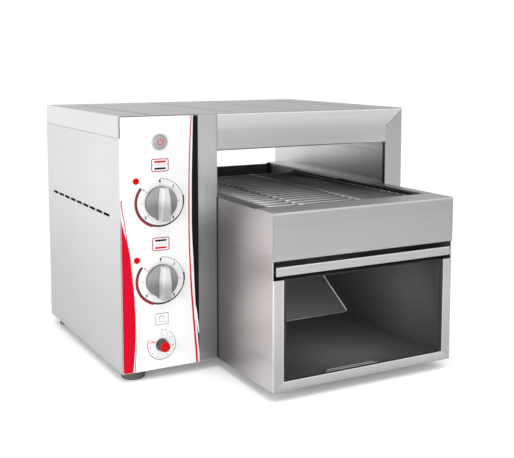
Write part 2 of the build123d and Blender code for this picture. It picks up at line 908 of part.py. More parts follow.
# Controls
def heat_knob(level):
    """Skirted knob with a crowned grip bar, narrower at the end that points to the zero mark."""
    back = label_front - knob_gap
    front = back - skirt_depth
    skirt = rod((dial_place, front, level), skirt_depth, knob_radius, "Y")
    skirt = fillet(skirt.edges().sort_by(Axis.Y)[0], knob_fillet)
    half = grip_bar_width / 2
    top, bottom = level + knob_radius - knob_fillet, level - knob_radius - grip_overhang
    plan = [
        (dial_place - half, bottom),
        (dial_place + half, bottom),
        (dial_place + half, level),
        (dial_place + half - grip_taper, top),
        (dial_place - half + grip_taper, top),
        (dial_place - half, level),
    ]
    bar = flat_xz(plan, front - 2 * grip_reach, back) & knob_crown(level, top, bottom, front, back)
    front_edges = bar.edges().filter_by(GeomType.LINE, reverse=True)
    front_edges += bar.edges().filter_by(Axis.X).group_by(Axis.Y)[0]
    bar = fillet(front_edges, knob_fillet)
    hole = rod((dial_place, back - spindle_depth_in_knob, level), 2 * spindle_depth_in_knob,
               spindle_radius, "Y")
    return skirt + bar - hole


def knob_crown(level, top, bottom, front, back):
    """Side view of the grip bar: a flat back and an arched front."""
    end = front - grip_end_reach
    arch = ThreePointArc((end, bottom), (front - grip_reach, level), (end, top))
    rest = Polyline((end, top), (back, top), (back, bottom), (end, bottom))
    side = make_face(Plane.YZ * Pos(0, 0, dial_place - knob_radius) * (arch + rest))
    return extrude(side, amount=2 * knob_radius, dir=(1, 0, 0))


def spindle(level, reach):
    """Round spindle from inside a control to inside its knob."""
    front = label_front - knob_gap - spindle_depth_in_knob
    return rod((dial_place, front, level), panel_back + reach - front, spindle_radius, "Y")


def regulator(level):
    """Energy regulator behind the panel, with a bush on its front."""
    half = regulator_side / 2
    case = block(dial_place - half, dial_place + half, panel_back, panel_back + regulator_depth,
                 level - half, level + half)
    case = fillet(case.edges().filter_by(Axis.Y), knob_fillet)
    return case - rod((dial_place, 0, level), panel_back + spindle_reach + spindle_gap,
                      spindle_radius + running_gap, "Y")


def speed_control():
    """Potentiometer behind the small dial."""
    case = rod((dial_place, panel_back, speed_dial_level), pot_depth, pot_radius, "Y")
    return case - rod((dial_place, 0, speed_dial_level), panel_back + pot_depth / 2 + spindle_gap,
                      spindle_radius + running_gap, "Y")


def speed_knob():
    """Black body of the small knob, narrower towards the front."""
    back = label_front - knob_gap
    front = back - speed_knob_depth
    body = rod((dial_place, front, speed_dial_level), speed_knob_depth, speed_knob_top_radius, "Y",
               top_radius=speed_knob_radius)
    hole = rod((dial_place, back - spindle_depth_in_knob, speed_dial_level), 2 * spindle_depth_in_knob,
               spindle_radius, "Y")
    return body - hole


def speed_knob_cap():
    """Coloured disc on the front of the small knob."""
    front = label_front - knob_gap - speed_knob_depth - speed_cap_depth
    cap = rod((dial_place, front, speed_dial_level), speed_cap_depth, speed_cap_radius, "Y")
    return fillet(cap.edges().sort_by(Axis.Y)[0], knob_fillet)


def power_switch():
    """Fixed part of the push button: the bezel on the label and the switch behind the panel."""
    bezel_front = label_front - bezel_height
    bezel = rod((dial_place, bezel_front, button_level), bezel_height, bezel_radius, "Y")
    bezel = fillet(bezel.edges().sort_by(Axis.Y)[0], bezel_fillet)
    barrel = rod((dial_place, label_front, button_level), switch_length, switch_radius, "Y")
    well = rod((dial_place, bezel_front - bezel_height, button_level),
               bezel_height + button_length + button_travel, bezel_radius - bezel_width, "Y")
    return bezel + barrel - well


def power_button():
    """Moving cap of the push button."""
    front = label_front - button_height
    radius = bezel_radius - bezel_width - button_gap
    cap = rod((dial_place, front, button_level), button_length, radius, "Y")
    return fillet(cap.edges().sort_by(Axis.Y)[0], bezel_fillet)


def pilot_lamps():
    lamps = []
    for x, z in lamp_places():
        front = label_front - lamp_height
        lamp = rod((x, front, z), lamp_height + lamp_depth, lamp_radius, "Y")
        lamps.append(fillet(lamp.edges().sort_by(Axis.Y)[0], lamp_fillet))
    return group(lamps)


# Electrics
def control_board():
    """Speed board on stand-offs from the partition."""
    face = tunnel_left - sheet - standoff_length
    y0, z0 = board_place
    length, height = board_size
    board = block(face - board_sheet, face, y0, y0 + length, z0, z0 + height)
    for y in (y0 + 2 * standoff_radius, y0 + length - 2 * standoff_radius):
        for z in (z0 + 2 * standoff_radius, z0 + height - 2 * standoff_radius):
            board += rod((face, y, z), standoff_length, standoff_radius, "X")
    chip = block(face - board_sheet - standoff_length, face - board_sheet, y0 + length / 3,
                 y0 + length / 2, z0 + height / 3, z0 + height / 2)
    return board + chip


def terminal_block():
    x, y = terminal_place
    width, depth, height = terminal_size
    case = block(x, x + width, y, y + depth, sheet, sheet + height)
    pitch = width / (terminal_ways + 1)
    for i in range(terminal_ways):
        well = rod((x + (i + 1) * pitch, y + depth / 4, sheet + height), screw_length, pitch / 3, "Z")
        case -= Pos(0, 0, -screw_length / 2) * well
    return case


def cable_gland():
    """Gland in the rear panel, open right through for the supply cable."""
    x, z = gland_place
    body = rod((x, back_inside - gland_inside, z), gland_inside + sheet + gland_reach, gland_radius, "Y")
    nut = Plane.XZ.offset(-body_depth) * Pos(x, z) * RegularPolygon(gland_nut_radius, 6)
    inner = Plane.XZ.offset(-back_inside) * Pos(x, z) * RegularPolygon(gland_nut_radius, 6)
    gland = body + extrude(nut, amount=-gland_nut_height) + extrude(inner, amount=gland_nut_height)
    gland = chamfer(gland.edges().filter_by(GeomType.CIRCLE).sort_by(Axis.Y)[-1], gland_radius / 4)
    return gland - rod((x, back_inside - 2 * gland_inside, z), 4 * gland_reach, cable_radius, "Y")


def wiring_loom():
    """Two runs of wire from the terminal block to the regulators."""
    x, y = terminal_place
    width, depth, height = terminal_size
    start = sheet + height
    end = panel_back + regulator_depth
    behind = y + depth * 3 / 4
    runs = []
    for column, level in ((x + width - loom_radius, lower_dial_level), (x + loom_radius, upper_dial_level)):
        target = dial_place - regulator_side / 4 + (column - x - width / 2) / 4
        points = [(column, behind, start), (column, behind, level), (target, end, level)]
        path = FilletPolyline(*points, radius=loom_bend)
        section = Plane(origin=points[0], z_dir=(0, 0, 1)) * Circle(loom_radius)
        runs.append(sweep(section, path=path))
    return group(runs)


def feet():
    """Rubber feet with studs that go up through the base pan."""
    pieces = []
    for x, y in foot_places():
        foot = rod((x, y, -foot_height), foot_height, foot_radius, "Z")
        foot = chamfer(foot.edges().sort_by(Axis.Z)[0], foot_chamfer)
        pieces.append(foot + rod((x, y, 0), stud_length, stud_radius, "Z"))
    return group(pieces)


nodes = {
    "base_pan": base_pan,
    "front_panel": front_panel,
    "control_label": control_label,
    "left_side_panel": left_side_panel,
    "top_cover": top_cover,
    "hood_front": hood_front,
    "right_side_panel": right_side_panel,
    "rear_panel": rear_panel,
    "rear_screws": rear_screws,
    "partition_wall": partition_wall,
    "right_inner_wall": right_inner_wall,
    "box_left_side": box_left_side,
    "box_right_side": box_right_side,
    "box_floor": box_floor,
    "front_fascia": front_fascia,
    "left_rail": left_rail,
    "right_rail": right_rail,
    "compartment_liner": compartment_liner,
    "discharge_chute": discharge_chute,
    "toast_tray": toast_tray,
    "tray_runners": tray_runners,
    "crumb_tray": crumb_tray,
    "conveyor_belt": conveyor_belt,
    "belt_supports": belt_supports,
    "drive_shaft": drive_shaft,
    "drive_sprockets": drive_sprockets,
    "driven_sprocket": driven_sprocket,
    "idler_shaft": idler_shaft,
    "shaft_bushes": shaft_bushes,
    "motor_sprocket": motor_sprocket,
    "motor_output_shaft": motor_output_shaft,
    "drive_chain": drive_chain,
    "chain_tensioner": chain_tensioner,
    "gear_motor": gear_motor,
    "motor_bracket": motor_bracket,
    "upper_heating_tubes": upper_heating_tubes,
    "lower_heating_tubes": lower_heating_tubes,
    "tube_end_caps": tube_end_caps,
    "upper_element_guard": upper_element_guard,
    "upper_reflector": upper_reflector,
    "lower_reflector": lower_reflector,
    "insulation_blanket": insulation_blanket,
    "upper_heat_knob": lambda: heat_knob(upper_dial_level),
    "upper_heat_spindle": lambda: spindle(upper_dial_level, spindle_reach),
    "upper_heat_regulator": lambda: regulator(upper_dial_level),
    "lower_heat_knob": lambda: heat_knob(lower_dial_level),
    "lower_heat_spindle": lambda: spindle(lower_dial_level, spindle_reach),
    "lower_heat_regulator": lambda: regulator(lower_dial_level),
    "speed_knob": speed_knob,
    "speed_knob_cap": speed_knob_cap,
    "speed_spindle": lambda: spindle(speed_dial_level, pot_depth / 2),
    "speed_control": speed_control,
    "power_switch": power_switch,
    "power_button": power_button,
    "pilot_lamps": pilot_lamps,
    "control_board": control_board,
    "terminal_block": terminal_block,
    "cable_gland": cable_gland,
    "wiring_loom": wiring_loom,
    "feet": feet,
}

os.makedirs("parts", exist_ok=True)
for name, make in nodes.items():
    export_step(make().moved(to_row), f"parts/{name}.step")
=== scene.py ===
import math
import bpy
import numpy as np
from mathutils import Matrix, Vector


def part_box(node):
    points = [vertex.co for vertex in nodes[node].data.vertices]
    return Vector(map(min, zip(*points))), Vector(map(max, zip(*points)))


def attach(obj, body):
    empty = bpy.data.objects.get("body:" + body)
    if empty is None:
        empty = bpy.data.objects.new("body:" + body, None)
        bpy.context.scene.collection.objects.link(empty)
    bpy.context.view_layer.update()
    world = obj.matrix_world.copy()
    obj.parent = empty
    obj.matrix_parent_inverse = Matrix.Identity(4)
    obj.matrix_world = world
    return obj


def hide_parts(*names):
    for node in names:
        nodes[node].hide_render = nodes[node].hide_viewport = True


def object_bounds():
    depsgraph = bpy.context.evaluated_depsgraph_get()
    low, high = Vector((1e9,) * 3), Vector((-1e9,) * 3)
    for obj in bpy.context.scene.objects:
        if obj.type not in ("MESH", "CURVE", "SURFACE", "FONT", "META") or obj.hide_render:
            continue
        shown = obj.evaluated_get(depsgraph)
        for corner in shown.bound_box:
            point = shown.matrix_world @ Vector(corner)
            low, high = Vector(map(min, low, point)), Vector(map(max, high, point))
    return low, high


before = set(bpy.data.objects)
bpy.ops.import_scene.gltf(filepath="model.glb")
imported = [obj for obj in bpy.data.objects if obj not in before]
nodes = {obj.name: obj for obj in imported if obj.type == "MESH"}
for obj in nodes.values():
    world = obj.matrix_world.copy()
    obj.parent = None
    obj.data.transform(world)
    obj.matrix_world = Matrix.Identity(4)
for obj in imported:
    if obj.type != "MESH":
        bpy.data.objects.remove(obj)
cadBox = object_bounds()
print("frame loaded,", len(nodes), "nodes")


# places: millimetres from the casing's left, front and underside, as metres in the frame
mm = 0.001
corner = np.array([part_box("top_cover")[0].x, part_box("top_cover")[0].y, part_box("base_pan")[0].z])


def place(points):   # casing millimetres to frame metres: point * 0.001 + corner
    return np.asarray(points, float) * mm + corner


def inCasing(point):   # the other way round: frame metres to millimetres from the casing's corner
    return (np.array(point) - corner) / mm


def casingBox(node):   # lowest and highest corner of a node, in casing millimetres
    low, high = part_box(node)
    return inCasing(low), inCasing(high)


# mesh helpers: a new piece is made of rings of points or of bars, joined into one mesh
def ringFaces(rings, sides):   # quads between neighbours on a ring and on the next ring
    a, b = np.meshgrid(np.arange(rings - 1), np.arange(sides), indexing="ij")
    a2, b2 = a + 1, (b + 1) % sides
    quads = [a * sides + b, a * sides + b2, a2 * sides + b2, a2 * sides + b]
    return np.stack(quads, -1).reshape(-1, 4)


def joined(parts):   # [(points, faces), ...] as one list of points and one of faces
    points, faces, first = [], [], 0
    for p, f in parts:
        p = np.asarray(p, float).reshape(-1, 3)
        points.append(p)
        faces += [[int(i) + first for i in face] for face in f]
        first += len(p)
    return np.concatenate(points), faces


def addPiece(name, shape, material, body, smooth=True):   # shape is (points in metres, faces)
    points, faces = shape
    mesh = bpy.data.meshes.new(name)
    mesh.from_pydata(np.asarray(points).reshape(-1, 3).tolist(), [], [list(map(int, f)) for f in faces])
    mesh.polygons.foreach_set("use_smooth", [smooth] * len(mesh.polygons))
    mesh.materials.append(material)
    mesh.update()
    piece = bpy.data.objects.new(name, mesh)
    bpy.context.scene.collection.objects.link(piece)
    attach(piece, body)
    return piece


def tubes(paths, up, radius, sides):
    # a circle carried along each path: p + r (cos a * up + sin a * side), side = tangent x up, with flat ends
    tangent = np.gradient(paths, axis=1)
    tangent /= np.linalg.norm(tangent, axis=2, keepdims=True)
    side = np.cross(tangent, up)
    side /= np.linalg.norm(side, axis=2, keepdims=True)
    lift = np.cross(side, tangent)
    a = np.linspace(0, 2 * np.pi, sides, endpoint=False)
    ring = np.cos(a)[:, None] * lift[:, :, None, :] + np.sin(a)[:, None] * side[:, :, None, :]
    points = paths[:, :, None, :] + radius * ring
    count, length = paths.shape[:2]
    one = ringFaces(length, sides)
    starts = np.arange(count) * length * sides
    faces = (one[None] + starts[:, None, None]).reshape(-1, 4).tolist()
    for s in starts.tolist():
        faces.append(list(range(s + sides - 1, s - 1, -1)))
        faces.append(list(range(s + (length - 1) * sides, s + length * sides)))
    return points.reshape(-1, 3), faces


# materials
def newMaterial(name, metallic, colour, roughness):   # a material with one plain shader
    material = bpy.data.materials.new(name)
    material.use_nodes = True
    tree = material.node_tree
    tree.nodes.clear()
    shader = tree.nodes.new("ShaderNodeBsdfPrincipled")
    output = tree.nodes.new("ShaderNodeOutputMaterial")
    tree.links.new(shader.outputs["BSDF"], output.inputs["Surface"])
    shader.inputs["Metallic"].default_value = metallic
    shader.inputs["Base Color"].default_value = (*colour, 1)
    shader.inputs["Roughness"].default_value = roughness
    return material, tree, shader


def noise(tree, scale, detail=2.0):   # noise on object coordinates, scale per metre along x, y and z
    coords = tree.nodes.new("ShaderNodeTexCoord")
    mapping = tree.nodes.new("ShaderNodeMapping")
    texture = tree.nodes.new("ShaderNodeTexNoise")
    mapping.inputs["Scale"].default_value = scale
    texture.inputs["Scale"].default_value = 1.0
    texture.inputs["Detail"].default_value = detail
    tree.links.new(coords.outputs["Object"], mapping.inputs["Vector"])
    tree.links.new(mapping.outputs["Vector"], texture.inputs["Vector"])
    return texture.outputs["Fac"]


def spread(tree, value, low, high, fromLow=0.3, fromHigh=0.7):   # the noise's usual range to low..high
    node = tree.nodes.new("ShaderNodeMapRange")
    node.inputs["From Min"].default_value = fromLow
    node.inputs["From Max"].default_value = fromHigh
    node.inputs["To Min"].default_value = low
    node.inputs["To Max"].default_value = high
    tree.links.new(value, node.inputs["Value"])
    return node.outputs["Result"]


def total(tree, a, b):   # a + b
    node = tree.nodes.new("ShaderNodeMath")
    node.operation = "ADD"
    tree.links.new(a, node.inputs[0])
    tree.links.new(b, node.inputs[1])
    return node.outputs[0]


def twoColours(tree, factor, first, second):   # first * (1 - factor) + second * factor
    node = tree.nodes.new("ShaderNodeMix")
    node.data_type = "RGBA"
    node.inputs["A"].default_value = (*first, 1)
    node.inputs["B"].default_value = (*second, 1)
    tree.links.new(factor, node.inputs["Factor"])
    return node.outputs["Result"]


def relief(tree, shader, height, strength, depth):   # bump of the given depth in metres
    node = tree.nodes.new("ShaderNodeBump")
    node.inputs["Strength"].default_value = strength
    node.inputs["Distance"].default_value = depth
    tree.links.new(height, node.inputs["Height"])
    tree.links.new(node.outputs["Normal"], shader.inputs["Normal"])


def shades(colour, share):   # the colour made darker and lighter by a share
    return [c * (1 - share) for c in colour], [min(1, c * (1 + share)) for c in colour]


def paintShading(tree, colour, paintedShading):
    # colour * gain for each (axis, start, end, first gain, last gain), a smoothstep along the axis in casing
    # millimetres; "facing" goes by how far the surface turns to +X instead, from -1 to 1
    # these gains paint light and shade into the colour: lighter and darker gradients, highlights along edges
    # and shade
    for axis, start, end, first, last in paintedShading:
        i = 0 if axis == "facing" else "xyz".index(axis)
        low, high = (start, end) if axis == "facing" else (start * mm + corner[i], end * mm + corner[i])
        coords = tree.nodes.new("ShaderNodeTexCoord")
        split = tree.nodes.new("ShaderNodeSeparateXYZ")
        gain = tree.nodes.new("ShaderNodeMapRange")
        gain.interpolation_type = "SMOOTHSTEP"
        for socket, value in (("From Min", low), ("From Max", high), ("To Min", first), ("To Max", last)):
            gain.inputs[socket].default_value = value
        product = tree.nodes.new("ShaderNodeVectorMath")
        product.operation = "SCALE"
        tree.links.new(coords.outputs["Normal" if axis == "facing" else "Object"], split.inputs[0])
        tree.links.new(split.outputs[i], gain.inputs["Value"])
        tree.links.new(colour, product.inputs[0])
        tree.links.new(gain.outputs["Result"], product.inputs["Scale"])
        colour = product.outputs[0]
    return colour


# what every steel has unless its own look says otherwise: noise scales per metre, shares, depth in metres
steelBase = dict(along=5, across=1100, coarser=0.3, fineShare=0.6, clouds=9, cloudShare=0.25, tone=0.05,
                 gloss=0.05, marks=0.05, relief=0.12, depth=0.00005, paintedShading=())


def brushedSteel(name, ownLook):
    # scratches along one axis change tone, gloss and relief: grain = 0.6 * fine noise + 0.4 * coarse noise
    # soft clouds stand for handling marks and are added to tone and roughness
    look = {**steelBase, **ownLook}
    material, tree, shader = newMaterial(name, 1.0, look["colour"], look["roughness"])
    scale = [look["along"] if axis == look["grain"] else look["across"] for axis in "xyz"]
    fine = noise(tree, scale, 3.0)
    coarse = noise(tree, [s * look["coarser"] for s in scale])
    clouds = noise(tree, (look["clouds"],) * 3)
    share = look["fineShare"]
    grain = total(tree, spread(tree, fine, 0, share), spread(tree, coarse, 0, 1 - share))
    dark, light = shades(look["colour"], look["tone"])
    factor = total(tree, spread(tree, grain, 0.1, 1 - look["cloudShare"], 0.2, 0.8),
                   spread(tree, clouds, 0, look["cloudShare"]))
    colour = paintShading(tree, twoColours(tree, factor, dark, light), look["paintedShading"])
    tree.links.new(colour, shader.inputs["Base Color"])
    low, high = look["roughness"] - look["gloss"], look["roughness"] + look["gloss"]
    rough = total(tree, spread(tree, grain, low, high, 0.2, 0.8), spread(tree, clouds, 0, look["marks"]))
    tree.links.new(rough, shader.inputs["Roughness"])
    relief(tree, shader, grain, look["relief"], look["depth"])
    return material


# what every coating has unless its own look says otherwise; grit and clouds are noise scales per metre
coatingBase = dict(metallic=0.0, grit=1800, clouds=22, tone=0.06, gloss=0.04, specular=0.5, relief=0.15,
                   depth=0.00003, coat=0.0, coatRoughness=0.12, sheen=0.0, paintedShading=())


def coating(name, ownLook):
    # paint, plastic, rubber, ceramic or ink: fine grit in the relief, soft clouds in tone and gloss
    look = {**coatingBase, **ownLook}
    material, tree, shader = newMaterial(name, look["metallic"], look["colour"], look["roughness"])
    grit = noise(tree, (look["grit"],) * 3)
    clouds = noise(tree, (look["clouds"],) * 3, 3.0)
    dark, light = shades(look["colour"], look["tone"])
    colour = paintShading(tree, twoColours(tree, spread(tree, clouds, 0, 1), dark, light), look["paintedShading"])
    tree.links.new(colour, shader.inputs["Base Color"])
    low, high = look["roughness"] - look["gloss"], look["roughness"] + look["gloss"]
    rough = total(tree, spread(tree, clouds, low, high), spread(tree, grit, 0, look["gloss"]))
    tree.links.new(rough, shader.inputs["Roughness"])
    relief(tree, shader, grit, look["relief"], look["depth"])
    shader.inputs["Specular IOR Level"].default_value = look["specular"]
    shader.inputs["Coat Weight"].default_value = look["coat"]
    shader.inputs["Coat Roughness"].default_value = look["coatRoughness"]
    shader.inputs["Sheen Weight"].default_value = look["sheen"]
    return material


# painted highlight on the two rows of wire joints: the gain goes up before each row and down again after it
jointHighlight = dict(rows=(235, 332), before=-4.2, after=2.7, ramp=1.5, gain=1.6)
paintedJointHighlights = []
for row in jointHighlight["rows"]:
    for step, gain in ((jointHighlight["before"], jointHighlight["gain"]), (jointHighlight["after"], 1 / jointHighlight["gain"])):
        paintedJointHighlights.append(("x", row + step, row + step + jointHighlight["ramp"], 1.0, gain))

# the casing sheets are one stainless steel in lit and shaded copies: their colours differ by the light each
# surface gets, and the gains along the axes paint gradients, highlights and shade on top
steels = {
    # painted light: the left flange 1.85 times lighter than the top
    "coverSteel": dict(colour=(0.34, 0.34, 0.335), roughness=0.40, grain="y",
                       paintedShading=[("x", 1.3, 1.5, 1.85, 1.0)]),
    # painted shade: darker towards the bottom and a little towards the rear
    "sideSteel": dict(colour=(0.59, 0.59, 0.59), roughness=0.44, grain="z",
                      paintedShading=[("z", 40, 280, 0.76, 1.0), ("y", 60, 320, 1.04, 0.97)]),
    # painted shade and reflection: much darker below 190 to 250 mm, less dark again below 110 to 180 mm, a
    # little darker near the top
    "columnSteel": dict(colour=(0.525, 0.525, 0.525), roughness=0.34, grain="z", relief=0.08,
                        paintedShading=[("z", 190, 250, 0.42, 1.0), ("z", 110, 180, 1.22, 1.0),
                               ("z", 270, 350, 1.0, 0.9)]),
    # painted highlight: lighter towards the top, a bright line along the top edge, a little lighter to the
    # right
    "hoodSteel": dict(colour=(0.475, 0.475, 0.475), roughness=0.38, grain="x",
                      paintedShading=[("z", 330, 356, 1.0, 1.30), ("z", 358.5, 360.5, 1.0, 1.35),
                             ("x", 320, 440, 1.0, 1.05)]),
    "flangeSteel": dict(colour=(0.43, 0.43, 0.43), roughness=0.38, grain="z"),
    "backSteel": dict(colour=(0.36, 0.36, 0.36), roughness=0.40, grain="x"),
    # painted light and shade: darker at the front and low down, lighter at the rear, a near-black painted
    # shadow line at the front edge
    "wallSteel": dict(colour=(0.55, 0.55, 0.545), roughness=0.32, grain="y", relief=0.05, marks=0.02,
                      paintedShading=[("y", 0, 200, 0.80, 1.0), ("y", 200, 320, 1.0, 1.15), ("z", 245, 300, 0.85, 1.0),
                             ("y", 5.5, 9.5, 0.1, 1.0)]),
    # painted shade and highlights: darker towards the bottom, much darker towards the column, front faces
    # darker, bright painted lines along the inner edges of both stiles
    "boxSideSteel": dict(colour=(0.565, 0.545, 0.545), roughness=0.36, grain="y", relief=0.09, tone=0.07,
                         marks=0.03,
                         paintedShading=[("z", 20, 130, 0.83, 1.0), ("y", -5, -160, 0.38, 1.08),
                                ("y", -163.9, -164.7, 1.0, 0.75), ("x", 162.9, 163.6, 1.0, 1.45),
                                ("x", 300, 301, 1.0, 0.69), ("x", 431, 431.4, 1.0, 1.45),
                                ("x", 432.2, 433, 1.0, 0.69)]),
    # painted highlight: a bright line along the top front edge
    "fasciaSteel": dict(colour=(0.385, 0.385, 0.385), roughness=0.42, grain="x",
                        paintedShading=[("z", 237.8, 239.6, 1.0, 1.5), ("z", 240.4, 240.9, 1.0, 0.64)]),
    # painted light and shade: darker at the very bottom, a bright band from 13 to 60 mm high, lighter above
    # 100 mm and much lighter above 168 mm
    "railSteel": dict(colour=(0.41, 0.41, 0.41), roughness=0.32, grain="x",
                      paintedShading=[("z", 0, 10, 0.85, 1.05), ("z", 12, 13, 1.0, 1.5), ("z", 60, 61, 1.0, 0.64),
                             ("z", 100, 150, 1.0, 1.06), ("z", 167, 168, 1.0, 1.4)]),
    # painted shade: a much darker copy of the rail steel for the left rail in shade
    "leftRailShadedSteel": dict(colour=(0.12, 0.12, 0.12), roughness=0.36, grain="y"),
    # painted light and shade: darker in front and just below the top, much lighter inside the tunnel, near
    # black at the rear
    "rightRailSteel": dict(colour=(0.36, 0.36, 0.36), roughness=0.32, grain="y",
                           paintedShading=[("z", 239, 240.9, 0.9, 1.0), ("y", -60, 5, 0.7, 0.9),
                                  ("y", 5, 40, 1.0, 2.2), ("y", 330, 350, 1.0, 0.2)]),
    "hiddenSteel": dict(colour=(0.42, 0.42, 0.42), roughness=0.45, grain="x"),
    "shaftSteel": dict(colour=(0.55, 0.55, 0.55), roughness=0.22, grain="x", across=2500),
    "toothSteel": dict(colour=(0.26, 0.26, 0.27), roughness=0.42, grain="x", tone=0.15),
    "chainSteel": dict(colour=(0.20, 0.19, 0.18), roughness=0.45, grain="z", tone=0.2),
    "bronze": dict(colour=(0.50, 0.34, 0.16), roughness=0.35, grain="y"),
    "screwSteel": dict(colour=(0.58, 0.58, 0.60), roughness=0.28, grain="x"),
    "buttonSteel": dict(colour=(0.41, 0.41, 0.415), roughness=0.30, grain="x", across=3000),
    # painted highlight: a lighter copy of the wire steel for every second wire, lighter still towards the
    # front and darker at both sides
    "wirePaintedHighlight": dict(colour=(0.42, 0.42, 0.415), roughness=0.30, grain="x", tone=0.12,
                       paintedShading=[("y", -70, 20, 2.0, 1.2), ("x", 165, 240, 0.65, 1.05),
                              ("x", 270, 350, 1.0, 0.36), *paintedJointHighlights]),
    # painted shade: darker towards the right
    "wireDark": dict(colour=(0.27, 0.27, 0.265), roughness=0.34, grain="x", tone=0.12,
                     paintedShading=[("x", 300, 400, 1.0, 0.6), *paintedJointHighlights]),
    # painted shadow: near black, for bars that stand for shade in gaps
    "paintedShadowSteel": dict(colour=(0.035, 0.035, 0.035), roughness=0.5, grain="x"),
    # painted shade in the pressed lines of the cover
    "grooveSteel": dict(colour=(0.16, 0.16, 0.158), roughness=0.45, grain="y"),
}
coatings = {
    # painted light: lighter towards the bottom, where less light falls
    "labelFilm": dict(colour=(0.57, 0.57, 0.57), roughness=0.30, tone=0.006, relief=0.03, clouds=8,
                      paintedShading=[("z", 0, 360, 1.15, 1.02)]),
    # painted light and shade: darker on the front edge, lighter higher up
    "linerCoat": dict(colour=(0.045, 0.045, 0.046), roughness=0.55, tone=0.06, relief=0.2, grit=900,
                      specular=0.2, paintedShading=[("y", -163.5, -162, 0.35, 1.0), ("z", 10, 90, 0.85, 1.15)]),
    # painted light and shade: lighter towards its front, darker higher up
    "chuteCoat": dict(colour=(0.085, 0.085, 0.086), roughness=0.55, tone=0.06, relief=0.2, grit=900,
                      specular=0.2, paintedShading=[("y", 72, 130, 1.3, 1.0), ("z", 120, 180, 1.0, 0.6)]),
    # painted highlights on the tray's finger grip
    "gripTrim": dict(colour=(0.60, 0.60, 0.60), roughness=0.4, metallic=0.6, tone=0.05, relief=0.05),
    "brightTrim": dict(colour=(0.85, 0.85, 0.85), roughness=0.35, tone=0.05, relief=0.05),
    # painted shade: lighter on the left, darker to the right and much darker at the front
    "dullTrim": dict(colour=(0.50, 0.50, 0.50), roughness=0.45, tone=0.05, relief=0.05,
                     paintedShading=[("x", 300, 420, 1.6, 0.6), ("y", -130, 60, 0.25, 1.0)]),
    # painted light and shade: faces turned to the left and the grip bar's front lighter, the skirt behind it
    # darker, each knob darker at its bottom and lighter at its top
    "knobPaint": dict(colour=(0.19, 0.19, 0.192), roughness=0.40, metallic=0.25, tone=0.04, relief=0.12,
                      paintedShading=[("facing", -0.95, -0.7, 1.45, 1.0), ("y", -10.6, -9.7, 2.1, 1.0),
                             ("y", -9.0, -7.6, 1.0, 0.5), ("z", 120, 138, 0.72, 1.2),
                             ("z", 180, 186, 1.0, 0.6), ("z", 232, 250, 1.0, 1.67)]),
    "deepShadow": dict(colour=(0.002, 0.002, 0.002), roughness=0.9, tone=0.1, specular=0.02),
    "blackPlastic": dict(colour=(0.030, 0.030, 0.031), roughness=0.36, relief=0.25),
    "redPlastic": dict(colour=(0.42, 0.001, 0.002), roughness=0.35, tone=0.04, specular=0.10),
    "lampLens": dict(colour=(0.45, 0.001, 0.001), roughness=0.35, tone=0.04, specular=0.02),
    "quartz": dict(colour=(0.78, 0.76, 0.70), roughness=0.22, tone=0.05, coat=0.4),
    "ceramic": dict(colour=(0.82, 0.80, 0.76), roughness=0.6, tone=0.05, relief=0.3),
    "wool": dict(colour=(0.66, 0.63, 0.52), roughness=0.95, tone=0.2, grit=500, relief=0.9, sheen=0.3),
    "motorPaint": dict(colour=(0.06, 0.065, 0.07), roughness=0.4, tone=0.1, relief=0.3),
    "board": dict(colour=(0.03, 0.14, 0.06), roughness=0.4, tone=0.1),
    "cream": dict(colour=(0.72, 0.67, 0.54), roughness=0.5, tone=0.05),
    "rubber": dict(colour=(0.06, 0.06, 0.06), roughness=0.62, tone=0.15, relief=0.5, grit=700),
    "wireSleeve": dict(colour=(0.06, 0.06, 0.065), roughness=0.5, tone=0.1),
    "printRed": dict(colour=(0.46, 0.001, 0.014), roughness=0.45, tone=0.02, relief=0.04, specular=0.05),
    "printPink": dict(colour=(0.34, 0.05, 0.075), roughness=0.45, tone=0.02, relief=0.04, specular=0.05),
    "printBlack": dict(colour=(0.004, 0.004, 0.004), roughness=0.45, tone=0.05, relief=0.04, specular=0.08),
    "printDark": dict(colour=(0.042, 0.042, 0.042), roughness=0.42, tone=0.04, relief=0.04, specular=0.1),
    "printGrey": dict(colour=(0.17, 0.17, 0.18), roughness=0.38, tone=0.03, relief=0.04, specular=0.2),
    "printWhite": dict(colour=(0.92, 0.92, 0.92), roughness=0.30, tone=0.01, relief=0.04),
}
materials = {name: brushedSteel(name, look) for name, look in steels.items()}
materials.update({name: coating(name, look) for name, look in coatings.items()})
print("materials made,", len(materials))


